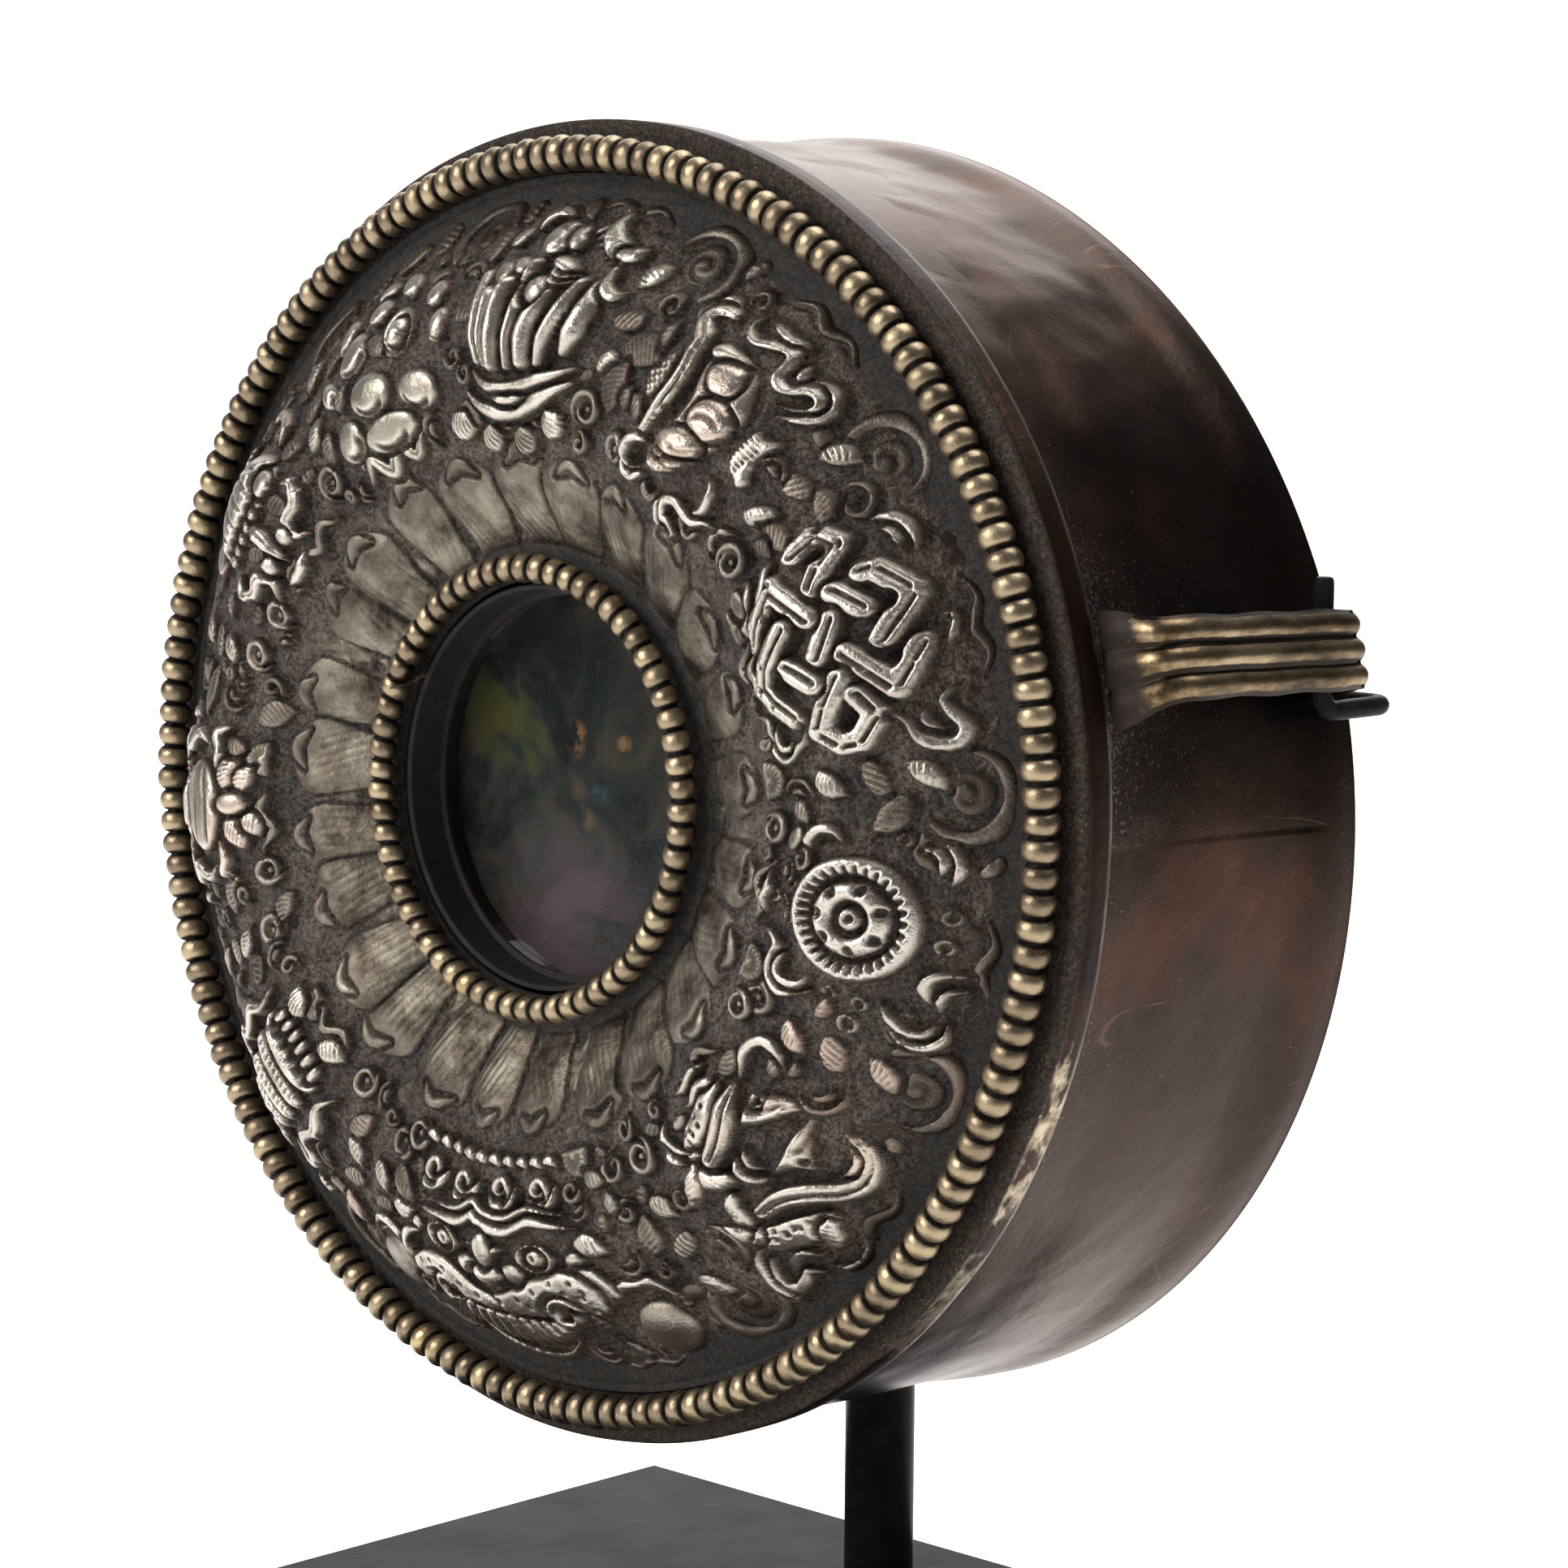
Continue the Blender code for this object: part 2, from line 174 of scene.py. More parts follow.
def value_noise(u, v, scale, seed):
    """Smooth random heights from -1 to 1 over coordinates u and v, about one bump per scale."""
    table = np.random.default_rng(seed).uniform(-1, 1, (256, 256))
    iu, iv = np.floor(u / scale).astype(int), np.floor(v / scale).astype(int)
    fu, fv = u / scale - iu, v / scale - iv
    fu, fv = fu * fu * (3 - 2 * fu), fv * fv * (3 - 2 * fv)
    corner = [[table[(iu + i) % 256, (iv + j) % 256] for j in (0, 1)] for i in (0, 1)]
    low = corner[0][0] * (1 - fu) + corner[1][0] * fu
    high = corner[0][1] * (1 - fu) + corner[1][1] * fu
    return low * (1 - fv) + high * fv


class Relief:
    """Chased and raised work on a plate: heights over a polar grid, in millimetres above the plate."""

    TRENCH_WIDTH = 0.75
    TRENCH_DEPTH = 0.55
    LINE = 0.2
    BOLD = 1.38

    def __init__(self, inner, outer, angles, rings):
        self.theta = np.arange(angles) * 2 * math.pi / angles
        self.radius = np.linspace(inner, outer, rings)
        self.r, self.t = np.meshgrid(self.radius, self.theta, indexing="ij")
        self.x, self.y = self.r * np.cos(self.t), self.r * np.sin(self.t)
        self.ground = np.zeros(self.r.shape)
        self.height = np.zeros(self.r.shape)
        self.taken = np.zeros(self.r.shape)
        self.shine = 1.0                # how bright the forms laid from now on are rubbed

    def near(self, points, margin):
        """The rows and columns of the grid round some points."""
        radius = np.hypot(points[:, 0], points[:, 1])
        turn = np.unwrap(np.arctan2(points[:, 1], points[:, 0]))
        spread = margin / radius.min()
        rows = np.flatnonzero((self.radius > radius.min() - margin) & (self.radius < radius.max() + margin))
        first = math.floor((turn.min() - spread) / self.theta[1])
        last = math.ceil((turn.max() + spread) / self.theta[1])
        columns = np.arange(first, min(last, first + len(self.theta) - 1) + 1) % len(self.theta)
        return np.ix_(rows, columns)

    def swell(self, spot, centre, size, rise):
        """Raises the ground in a soft mound."""
        mx, my = spot.map([centre])[0]
        ux, uy = spot.axes(centre)
        dx, dy = self.x - mx, self.y - my
        u, v = dx * ux[0] + dy * ux[1], dx * uy[0] + dy * uy[1]
        self.ground += rise * np.exp(-((u / size[0]) ** 2 + (v / size[1]) ** 2) ** 1.3)

    def lay(self, place, out, rise, moat=1.0):
        """Lays a form where out is below 0 and chases a trench round its outline."""
        ground, old = self.ground[place], self.height[place]
        sunk = np.clip(1 - out / self.TRENCH_WIDTH, 0, 1) ** 2 * moat
        floor = old + (np.minimum(old, ground - self.TRENCH_DEPTH) - old) * np.minimum(sunk, 1)
        self.height[place] = np.where(out < 0, ground + rise, floor)
        self.taken[place] = np.where(out < 0, self.shine, self.taken[place])

    def busy(self, spot, reach):
        """Whether there is already work within reach of a spot."""
        middle = spot.map([(0, 0)])
        place = self.near(middle, reach)
        away = np.hypot(self.x[place] - middle[0][0], self.y[place] - middle[0][1])
        return (self.taken[place][away < reach] > 0).mean() > 0.08

    def stroke(self, spot, points, width, rise=1.2, ends=(0.25, 0.25), groove=0.0, ribs=None, leafy=False,
               lift=0.1, flat=0.24):
        """A raised line: a scroll, ribbon, leaf or band. ribs is (pitch, slant, depth) of lines across it."""
        width, rise = width * self.BOLD, rise * self.BOLD
        path = spot.map(smooth(points))
        place = self.near(path, width + 1.2)
        away, share, side, length = to_path(self.x[place], self.y[place], path)
        if leafy:
            half = width / 2 * np.maximum(np.sin(math.pi * np.clip(share, 0.02, 0.98)) ** 0.7, 0.05)
        else:
            half = width / 2 * np.interp(share, [0, 0.3, 0.7, 1], [ends[0], 1, 1, ends[1]])
        across = np.clip(away / half, 0, 1)
        top = lift + rise * (1 - across**2) ** flat * np.minimum(1, half / width * 2) ** 0.5
        top -= groove * np.exp(-(((across * side - 0.22) / 0.15) ** 2))
        if ribs:
            pitch, slant, depth = ribs
            wave = np.abs(np.sin(math.pi * (share * length + slant * away * side) / pitch))
            top -= depth * (1 - wave) ** 2 * (1 - across**4)
        self.lay(place, away - half, top)

    def boss(self, spot, centre, size, rise=1.2, turn=0.0, lift=0.1, ring=None, full=0.3):
        """A raised oval. ring is the share of its radius that stays round a sunk middle."""
        middle = spot.map([centre])
        place = self.near(middle, max(size) + 1.5)
        (ux, uy), _ = spot.axes(centre)
        c, s = math.cos(math.radians(turn)), math.sin(math.radians(turn))
        dx, dy = self.x[place] - middle[0][0], self.y[place] - middle[0][1]
        u, v = dx * ux + dy * uy, -dx * uy + dy * ux
        u, v = (u * c + v * s) / size[0], (-u * s + v * c) / size[1]
        far = np.hypot(u, v)
        top = lift + 0.85 * rise * np.clip(1 - far**2, 0, 1) ** full
        if ring:
            across = np.clip(np.abs(far - (1 + ring) / 2) / ((1 - ring) / 2), 0, 1)
            top = np.where(far > ring, lift + rise * (1 - across**2) ** 0.5, lift - 0.35 * rise)
        self.lay(place, (far - 1) * min(size), top)

    def slab(self, spot, outline, rise=1.0, bevel=0.8, crown=0.4, lift=0.1, corners=False):
        """A raised shape with a closed outline."""
        path = spot.map(outline if corners else smooth(outline, closed=True))
        place = self.near(path, 1.2)
        x, y = self.x[place], self.y[place]
        away = to_path(x, y, path, closed=True)[0]
        within = inside(x, y, path)
        deep = np.where(within, away, 0)
        top = lift + rise * np.clip(deep / bevel, 0, 1) ** 0.5 + crown * np.clip(deep / 3, 0, 1)
        self.lay(place, np.where(within, -away, away), top)

    def chase(self, spot, points, depth=0.4, width=None):
        """A line sunk with a blunt tool."""
        path = spot.map(smooth(points))
        width = width or self.LINE
        place = self.near(path, 1.2)
        away, share, _, _ = to_path(self.x[place], self.y[place], path)
        fade = np.minimum(1, np.minimum(share, 1 - share) * 6 + 0.25)
        self.height[place] -= depth * fade * np.exp(-((away / (width * 1.2)) ** 2))

    def pit(self, spot, centre, radius, depth=0.8):
        """A punched hollow with a steep wall."""
        middle = spot.map([centre])
        place = self.near(middle, radius + 1)
        away = np.hypot(self.x[place] - middle[0][0], self.y[place] - middle[0][1])
        self.height[place] -= depth * (1 - ease(away, radius * 0.7, radius * 1.15))

    def hatch(self, spot, outline, direction, pitch=0.6, depth=0.3):
        """Fine parallel lines inside an outline."""
        path = spot.map(smooth(outline, closed=True))
        place = self.near(path, 0.6)
        x, y = self.x[place], self.y[place]
        (ux, uy), (vx, vy) = spot.axes(outline[0])
        c, s = math.cos(math.radians(direction)), math.sin(math.radians(direction))
        across = x * (vx * c - ux * s) + y * (vy * c - uy * s)
        wave = np.abs(np.sin(math.pi * across / pitch))
        self.height[place] -= np.where(inside(x, y, path), depth * (1 - wave) ** 1.5, 0)


class Spot:
    """A place on the plate. Local x runs clockwise and y outward, in millimetres on the 57 mm circle."""

    def __init__(self, angle, radius, turn=0.0, size=1.0, mirror=False):
        self.angle, self.radius = angle, radius
        self.turn, self.size = math.radians(turn), size
        self.flip = -1 if mirror else 1

    def map(self, points):
        points = np.asarray(points, float) * self.size * (self.flip, 1)
        c, s = math.cos(self.turn), math.sin(self.turn)
        x, y = points[:, 0] * c - points[:, 1] * s, points[:, 0] * s + points[:, 1] * c
        theta = np.radians(self.angle - x)
        return np.stack([(self.radius + y) * np.cos(theta), (self.radius + y) * np.sin(theta)], 1)

    def axes(self, point):
        """Unit vectors of local x and y at a local point."""
        middle, right = self.map([point, (point[0] + 0.01, point[1])])
        along = (right - middle) / np.hypot(*(right - middle))
        return along, np.array([-along[1], along[0]]) * self.flip


# ---------------------------------------------------------------- relief: shapes used many times


def wheel_points(radius, start=0.0, end=360.0, count=24, centre=(0, 0)):
    angles = np.radians(np.linspace(start, end, count))
    return np.stack([centre[0] + radius * np.cos(angles), centre[1] + radius * np.sin(angles)], 1)


def spiral_points(radius, turns, start=0.0, hand=1, centre=(0, 0)):
    """A curl that winds inward."""
    share = np.linspace(0, 1, int(14 * turns))
    angles = math.radians(start) + hand * share * turns * 2 * math.pi
    reach = radius * (1 - 0.78 * share)
    return np.stack([centre[0] + reach * np.cos(angles), centre[1] + reach * np.sin(angles)], 1)


def cloud(relief, spot):
    """A scroll cloud: a low round boss with a curl chased in it, and a broad arc round it."""
    relief.stroke(spot, [(-3.4, -3.2), (-5.6, -3.8), (-7.6, -2.2)], 1.7, 0.6, (0.7, 0.2), flat=0.7)
    relief.stroke(spot, wheel_points(4.1, 0, 225, 9), 1.7, 0.8, (0.25, 0.6), flat=0.6)
    relief.boss(spot, (0.1, 0), (2.6, 2.5), 0.8, full=0.7)
    relief.chase(spot, spiral_points(2.0, 1.1, 190), 0.45, 0.28)


def ring_dot(relief, spot, centre, radius=0.9):
    relief.boss(spot, centre, (radius, radius), 0.75, ring=0.5)


def leaf(relief, spot, start, end, width=2.2, bend=0.4, pitch=0.75, rise=1.1):
    """A pointed leaf with chased veins on one side."""
    start, end = np.array(start, float), np.array(end, float)
    along = end - start
    middle = (start + end) / 2 + bend * np.array([-along[1], along[0]]) / np.hypot(*along)
    relief.stroke(spot, [start, middle, end], width, rise, leafy=True, ribs=(pitch, 0.7, 0.45))


def leaf_trio(relief, angle, radius=60.0, mirror=False):
    """The three small leaves between two emblems: one outer, one oval, one inner."""
    spot = Spot(angle, radius, mirror=mirror)
    leaf(relief, spot, (-1.6, 3.4), (1.6, 7.0), 2.1)
    relief.boss(spot, (0, 0), (2.3, 1.5), 1.1, turn=25)
    relief.hatch(spot, wheel_points(1.7, count=12), 70, 0.75, 0.55)
    leaf(relief, spot, (1.9, -2.9), (-1.5, -6.6), 2.2)


def shell_fan(relief, spot, radius=3.0):
    """A ribbed shell with a rolled edge."""
    relief.slab(spot, wheel_points(radius, -20, 200, 10), 0.9, 0.7)
    for turn in range(0, 181, 20):
        c, s = math.cos(math.radians(turn)), math.sin(math.radians(turn))
        relief.chase(spot, [(0.6 * c, 0.6 * s), (radius * 0.86 * c, radius * 0.86 * s)], 0.35, 0.16)


def volute(relief, spot, radius=2.6, hand=1):
    relief.stroke(spot, spiral_points(radius, 1.6, 250, hand), 1.15, 0.85, (0.3, 0.7), flat=0.7)
    relief.boss(spot, (0, 0), (0.6, 0.6), 0.8)


def wavy_ribbon(relief, spot, reach, waves=2.5, lift=1.6, width=1.4):
    """A grooved ribbon lying in waves."""
    share = np.linspace(-1, 1, int(waves * 8) + 1)
    path = np.stack([share * reach, lift * np.sin(share * waves * math.pi) + 0.8 * share**2], 1)
    relief.stroke(spot, path, width, 0.85, (0.4, 0.4), groove=0.4)


# ---------------------------------------------------------------- relief: large motifs


def crown_jewels(relief, spot):
    """Fluted upright forms in a bowl of crescents, with a flame at one side."""
    for outer in ([(-6.6, 3.6), (-6.1, -1), (-4.9, -6.8)], [(10.6, 3.4), (10.7, 0), (9.9, -4.8)]):
        relief.stroke(spot, outer, 2.6, 1.5, (0.6, 0.5), flat=0.7)
    relief.stroke(spot, [(-4.6, 4.4), (-4.2, 0), (-3.6, -4), (-2.6, -7.4)], 1.6, 1.8, (0.7, 0.6), flat=0.5)
    relief.stroke(spot, [(8.6, 3.4), (8.0, 0), (7.0, -3.6), (6.6, -6.8)], 1.7, 1.8, (0.7, 0.6), flat=0.5)
    relief.stroke(spot, [(1.5, 5.0), (1.3, 0), (1.3, -4), (1.7, -7.6)], 1.5, 1.9, (0.8, 0.7), flat=0.5)
    relief.stroke(spot, [(-1.7, 4.6), (-1.7, 0), (-1.4, -4), (-0.9, -7.6)], 1.9, 2.2, (0.8, 0.75), flat=0.5)
    relief.stroke(spot, [(5.0, 3.2), (4.5, 0), (3.9, -3), (4.3, -6.8)], 2.2, 2.2, (0.7, 0.8), flat=0.5)
    for points, width in (
        ([(-6.4, -7.9), (-4.2, -9.5), (-1, -10.3), (3, -9.9), (7.5, -8.4), (12.4, -6.2)], 1.5),
        ([(-8.6, -10.2), (-6, -12.1), (-2, -13.2), (2.4, -12.9), (6.5, -11.3), (10, -9.4), (12.6, -7.9)],
         1.7),
        ([(-2.6, -11.4), (1, -11.7), (4.4, -10.9)], 1.0),
    ):
        relief.stroke(spot, points, width, 1.2, (0.3, 0.3))
    relief.boss(spot, (-3.6, 3.9), (1.9, 1.8), 1.5)
    relief.chase(spot, wheel_points(1.3, -60, 120, 8, (-3.6, 3.9)))
    relief.boss(spot, (-0.9, 4.6), (1.5, 1.1), 2.0, turn=-35)
    relief.boss(spot, (3.0, 1.7), (1.9, 1.9), 2.2)
    relief.chase(spot, wheel_points(1.5, -80, 100, 8, (3.0, 1.7)), 0.5)
    for rise in (0, 1.2, 2.4):
        relief.stroke(spot, [(3.9, 4.0 + rise * 0.8), (5.5, 3.2 + rise * 0.8), (7.2, 3.2 + rise * 0.6)],
                      1.1, 1.9)
    relief.boss(spot, (2.2, 8.1), (2.5, 2.2), 2.2)
    relief.chase(spot, wheel_points(1.5, -60, 110, 8, (1.6, 8.0)), 0.5)
    relief.boss(spot, (4.6, 8.3), (1.3, 1.8), 1.9, turn=20)
    relief.stroke(spot, [(-1.9, 9.0), (-1.3, 10.7), (0.1, 11.4), (1.5, 10.8)], 1.3, 1.5, (0.4, 0.4))
    relief.stroke(spot, [(-5.4, 7.2), (-4.4, 8.0), (-3.0, 9.4)], 1.6, 1.0)
    for step in range(6):
        relief.stroke(spot, [(5.9 + step * 0.75, 8.9 - step * 0.6), (7.7 + step * 0.5, 10.4 - step * 0.8)],
                      0.75, 0.9, (0.7, 0.3))
    relief.stroke(spot, [(8.7, 11.8), (8.5, 10.2), (9.3, 8.6), (10.8, 7.4), (11.5, 5.6)], 2.0, 1.7,
                  (0.5, 0.4))
    relief.stroke(spot, [(10.9, 7.4), (12.2, 7.5), (13.6, 8.6)], 1.5, 1.5, (0.8, 0.2))
    relief.stroke(spot, [(11.2, 5.6), (11.6, 3.6), (13.0, 2.8), (14.6, 3.6)], 1.3, 1.2, (0.7, 0.2))
    for start, end in (((-12.6, -12.4), (-8.2, -14.9)), ((-6.4, -15.0), (-2.2, -15.8)),
                       ((0.0, -15.9), (4.8, -15.3)), ((6.8, -13.8), (11.4, -12.2))):
        leaf(relief, spot, start, end, 3.0, -0.7)


def conch(relief, spot):
    """A conch of overlapping swirls, with ribbons over and beside it."""
    relief.stroke(spot, [(-5.0, 8.3), (-6.0, 9.6), (-7.3, 10.2), (-8.4, 9.7), (-8.8, 8.4)], 0.8, 1.1)
    relief.stroke(spot, [(-5.7, 9.1), (-7.0, 9.0), (-8.0, 8.3), (-8.1, 7.2), (-7.2, 6.3), (-6.3, 5.6),
                         (-6.0, 4.2),
                         (-5.3, 2.6), (-5.0, 0.8), (-5.0, -1.2), (-5.2, -3.6), (-5.9, -6.0), (-7.2, -7.4)],
                  1.7, 1.5, (0.5, 0.4), groove=0.75)
    relief.stroke(spot, [(-5.0, -7.3), (-7.2, -8.0), (-8.2, -9.8), (-7.4, -11.4), (-6.0, -11.7),
                         (-4.6, -11.0)],
                  1.3, 1.3, (0.4, 0.3))
    relief.stroke(spot, [(-8.9, -11.2), (-7.4, -12.5), (-5.5, -12.6), (-4.2, -11.5), (-3.2, -10.8)], 1.0,
                  1.1)
    relief.pit(spot, (-6.3, -9.6), 1.2, 0.7)
    body = [(-4.4, 6.7), (-1, 7.2), (2.4, 6.4), (4.8, 4), (5.4, 0.8), (4.9, -2.4), (3.4, -5), (0.8, -7.4),
            (-2.6, -9), (-3.4, -8), (-2.0, -5.6), (-2.6, -3), (-2.4, 0), (-3.4, 2.6), (-4.2, 5)]
    relief.slab(spot, body, 1.3, 1.2, 1.0)
    relief.boss(spot, (-0.3, 4.5), (2.7, 2.0), 1.7, turn=-12, lift=0.9)
    relief.boss(spot, (2.2, 0.3), (3.0, 2.5), 2.0, turn=8, lift=1.0)
    relief.chase(spot, [(0.5, -0.2), (2.2, 0.9), (4.4, 0.9)], 0.5)
    relief.boss(spot, (0.7, -4.1), (3.2, 2.0), 1.6, turn=24, lift=0.9)
    relief.chase(spot, [(0.2, -4.6), (1.8, -4.6), (3.0, -3.9), (4.3, -2.8)], 0.6, 0.3)
    relief.stroke(spot, [(-2.4, -6.3), (0.2, -6.8), (2.6, -6.0), (4.2, -4.4)], 0.9, 1.5, lift=0.6)
    relief.stroke(spot, [(-3.0, -7.8), (-0.6, -8.0), (2.0, -7.2)], 1.3, 1.5, groove=0.5, lift=0.4)
    relief.slab(spot, [(-4.6, 6.0), (-3.2, 7.2), (1.2, 7.0), (-1.4, 6.1), (-3.4, 4.9)], 1.9, 0.6, 0.2)
    ribbon = [(-3.0, 11.0), (-3.5, 10.0), (-2.9, 9.0), (-1.5, 8.8), (0.0, 9.6), (1.4, 10.5), (2.6, 10.5),
              (3.2, 9.4), (3.5, 8.2), (4.7, 7.8), (5.9, 8.5), (6.8, 9.5), (7.9, 9.8), (8.8, 9.1), (8.5, 7.8),
              (7.4, 6.9), (5.6, 6.0)]
    relief.stroke(spot, ribbon, 1.3, 1.5, (0.4, 0.2), flat=0.45)
    relief.stroke(spot, [(-3.0, 10.8), (-1.4, 11.2), (0.6, 11.2), (2.4, 11.7), (3.4, 11.5)], 0.75, 1.2)
    relief.stroke(spot, [(5.9, 9.9), (7.2, 10.9), (8.8, 11.1), (10.0, 10.2), (10.1, 8.5), (9.2, 7.2),
                         (8.1, 6.2),
                         (6.3, 5.1)], 0.85, 1.3)
    relief.boss(spot, (4.8, 9.8), (0.8, 1.1), 1.4, turn=25)
    relief.slab(spot, [(6.7, 3.0), (8.4, 3.2), (9.9, 4.7), (9.8, 2.1), (10.2, 0.1), (11.3, -1.4),
                       (10.6, -2.8),
                       (9.3, -2.4), (7.0, -1.2)], 1.2, 0.5)
    relief.hatch(spot, [(6.8, 2.8), (9.0, 2.6), (9.0, -1.6), (6.9, -1.1)], 5, 0.62, 0.6)
    relief.stroke(spot, [(6.6, -4.2), (8.2, -5.0), (8.9, -6.4), (9.0, -8.0), (8.2, -9.3), (6.8, -9.6),
                         (5.4, -9.4)],
                  1.0, 1.2)
    relief.stroke(spot, [(11.8, -8.2), (10.2, -8.9), (8.6, -10.2), (6.6, -10.3), (4.6, -10.1), (3.0, -10.9),
                         (2.2, -12.1), (2.9, -13.4), (4.4, -13.3), (6.2, -13.9), (5.4, -15.4)], 1.2, 1.3,
                  (0.3, 0.3))
    relief.stroke(spot, [(1.2, -11.6), (1.0, -13.0), (2.0, -14.6), (4.0, -15.0)], 0.8, 1.1)
    cloth = [(-10.9, 0.3), (-9.8, 1.7), (-8.4, 3.2), (-7.3, 1.2), (-7.1, -1.2), (-8.1, -3.4), (-10, -1.8)]
    relief.slab(spot, cloth, 1.0, 0.6, 0.3)
    for direction in (35, -40):
        relief.hatch(spot, cloth, direction, 0.8, 0.35)


def endless_knot(relief, spot):
    """Interlaced bands with chased middles, seen cut into the lengths that pass over."""
    bands = (
        [(-5.9, 5.3), (-5.7, 6.6), (-2.4, 9.3), (1.3, 5.7)],
        [(2.6, 8.9), (4.2, 7.7), (6.4, 5.9), (4.0, 3.7), (1.8, 1.7)],
        [(6.6, 1.9), (8.8, 3.3), (11.4, 1.2), (11.5, -0.7), (9.8, -2.8), (7.3, -1.5), (4.4, 0.4)],
        [(-6.4, 0.1), (-8.2, 1.5), (-9.8, 3.7), (-12.0, 1.9), (-10.9, -0.9)],
        [(-5.0, 2.0), (-2.2, 4.7)],
        [(-2.2, 1.0), (1.3, -1.5)],
        [(1.6, -5.4), (4.3, -2.6)],
        [(-3.2, -1.4), (-8.7, -4.9), (-5.2, -8.6), (-3.4, -9.6)],
        [(-3.1, -4.7), (0.4, -8.5), (3.0, -9.8), (5.4, -8.5), (7.9, -5.7)],
    )
    for band in bands:
        corners = np.vstack([smooth([a, b], steps=3) for a, b in zip(band[:-1], band[1:])])
        relief.stroke(spot, corners, 2.1, 1.6, (0.95, 0.95), groove=1.1, flat=0.12)
    for pit in ((-2.4, 6.9), (3.3, 6.0), (8.8, 0.2), (-10.1, 1.4), (-5.4, -5.7), (2.5, -7.0)):
        relief.pit(spot, pit, 1.15, 1.1)
    for points, width in (
        ([(-11.1, 6.5), (-10.6, 8.7), (-9.2, 10.0), (-7.6, 10.5), (-6.3, 9.9)], 1.1),
        ([(-9.7, 7.1), (-9.2, 8.4), (-8.0, 8.9), (-6.6, 8.9)], 0.7),
        ([(0.3, 10.2), (0.5, 11.5), (1.9, 11.4), (3.2, 10.3)], 0.8),
        ([(7.0, 10.4), (8.2, 9.2), (9.6, 9.8), (11.0, 11.0), (12.4, 10.2), (12.5, 8.2), (11.6, 6.6),
          (10.0, 5.6),
          (9.0, 4.4)], 1.3),
        ([(8.7, 7.4), (10.2, 7.5), (11.0, 8.8)], 0.8),
        ([(9.0, -5.3), (10.6, -6.0), (11.6, -7.6), (12.6, -9.2), (11.2, -10.7), (9.0, -10.9), (7.0, -11.4),
          (5.8, -13.2)], 1.2),
        ([(7.4, -9.8), (9.4, -10.0), (11.0, -9.6), (11.2, -8.4), (10.2, -7.8)], 0.8),
        ([(-12.6, -4.0), (-11.4, -5.5), (-9.4, -6.8), (-8.2, -8.6)], 1.1),
        ([(-12.4, -8.6), (-10.4, -9.2), (-8.4, -10.9), (-6.2, -11.3), (-4.0, -10.5)], 1.3),
        ([(-2.8, -10.9), (-0.8, -12.5), (1.2, -11.6), (3.2, -12.6)], 1.1),
    ):
        relief.stroke(spot, points, width, 1.0, (0.3, 0.3))
    relief.boss(spot, (-10.4, -11.6), (2.0, 1.3), 0.9)


def teeth(relief, spot, inner, outer, count):
    """Short notches cut round a ring."""
    for turn in np.arange(count) * 360 / count:
        c, s = math.cos(math.radians(turn)), math.sin(math.radians(turn))
        relief.chase(spot, [(inner * c, inner * s), (outer * c, outer * s)], 1.1, 0.26)


def eight_wheel(relief, spot):
    """A toothed wheel with a notched hub, set among ring dots and ribbons."""
    relief.boss(spot, (0, 0), (7.4, 7.3), 1.7, ring=0.66)
    teeth(relief, spot, 4.9, 6.1, 30)
    relief.boss(spot, (0, 0), (4.5, 4.4), 1.6, ring=0.42)
    for turn in (10, 62, 113, 165, 220, 270, 318):
        c, s = math.cos(math.radians(turn)), math.sin(math.radians(turn))
        relief.pit(spot, (3.5 * c, 3.5 * s), 0.62, 1.1)
    relief.boss(spot, (0, 0), (1.5, 1.4), 1.6)
    relief.pit(spot, (-0.1, 0.1), 0.5, 0.9)
    for centre, radius in (((-9.1, 4.1), 0.9), ((-9.3, 1.1), 0.8), ((9.1, 2.3), 1.0), ((9.2, -1.4), 1.0),
                           ((11.9, 1.4), 1.3), ((-1.8, 9.2), 1.1), ((1.1, 9.1), 1.1), ((-2.5, -8.2), 0.9),
                           ((0.0, -8.9), 0.8), ((2.0, -8.0), 0.9), ((-0.2, -10.6), 0.9)):
        ring_dot(relief, spot, centre, radius)
    for points, width in (
        ([(-8.7, 6.8), (-8.1, 8.8), (-6.4, 9.7), (-4.6, 8.8)], 1.0),
        ([(-8.2, 5.9), (-8.0, 7.5), (-6.9, 8.2), (-5.5, 7.8)], 0.7),
        ([(-8.4, -1.9), (-9.8, -3.1), (-9.8, -4.8), (-8.2, -6.1), (-6.2, -5.6)], 1.1),
        ([(3.6, 11.6), (3.8, 9.6), (4.8, 8.3), (6.2, 8.3), (7.4, 9.4)], 1.0),
        ([(4.9, 11.8), (5.5, 10.2), (6.6, 9.7), (7.8, 9.8)], 0.8),
        ([(8.4, 10.5), (10.1, 10.8), (11.4, 9.4), (11.4, 7.4), (10.2, 4.8)], 1.0),
        ([(8.8, 9.5), (10.1, 9.0), (10.3, 7.2), (9.4, 5.6), (8.0, 4.4)], 1.0),
        ([(10.0, -3.4), (11.0, -5.2), (12.1, -7.4), (11.2, -9.1), (9.4, -9.8), (7.4, -9.3), (6.0, -9.2),
          (5.0, -10.6), (4.7, -12.4)], 1.1),
        ([(8.2, -4.0), (9.8, -5.1), (10.4, -7.0), (9.8, -8.3), (8.4, -8.6), (6.9, -8.0)], 1.0),
        ([(-3.4, -12.2), (-1.4, -11.7), (0.8, -12.4), (2.8, -12.0)], 1.0),
    ):
        relief.stroke(spot, points, width, 1.2, (0.3, 0.3))
    relief.boss(spot, (-8.2, -8.9), (1.7, 1.2), 0.8, turn=-30)


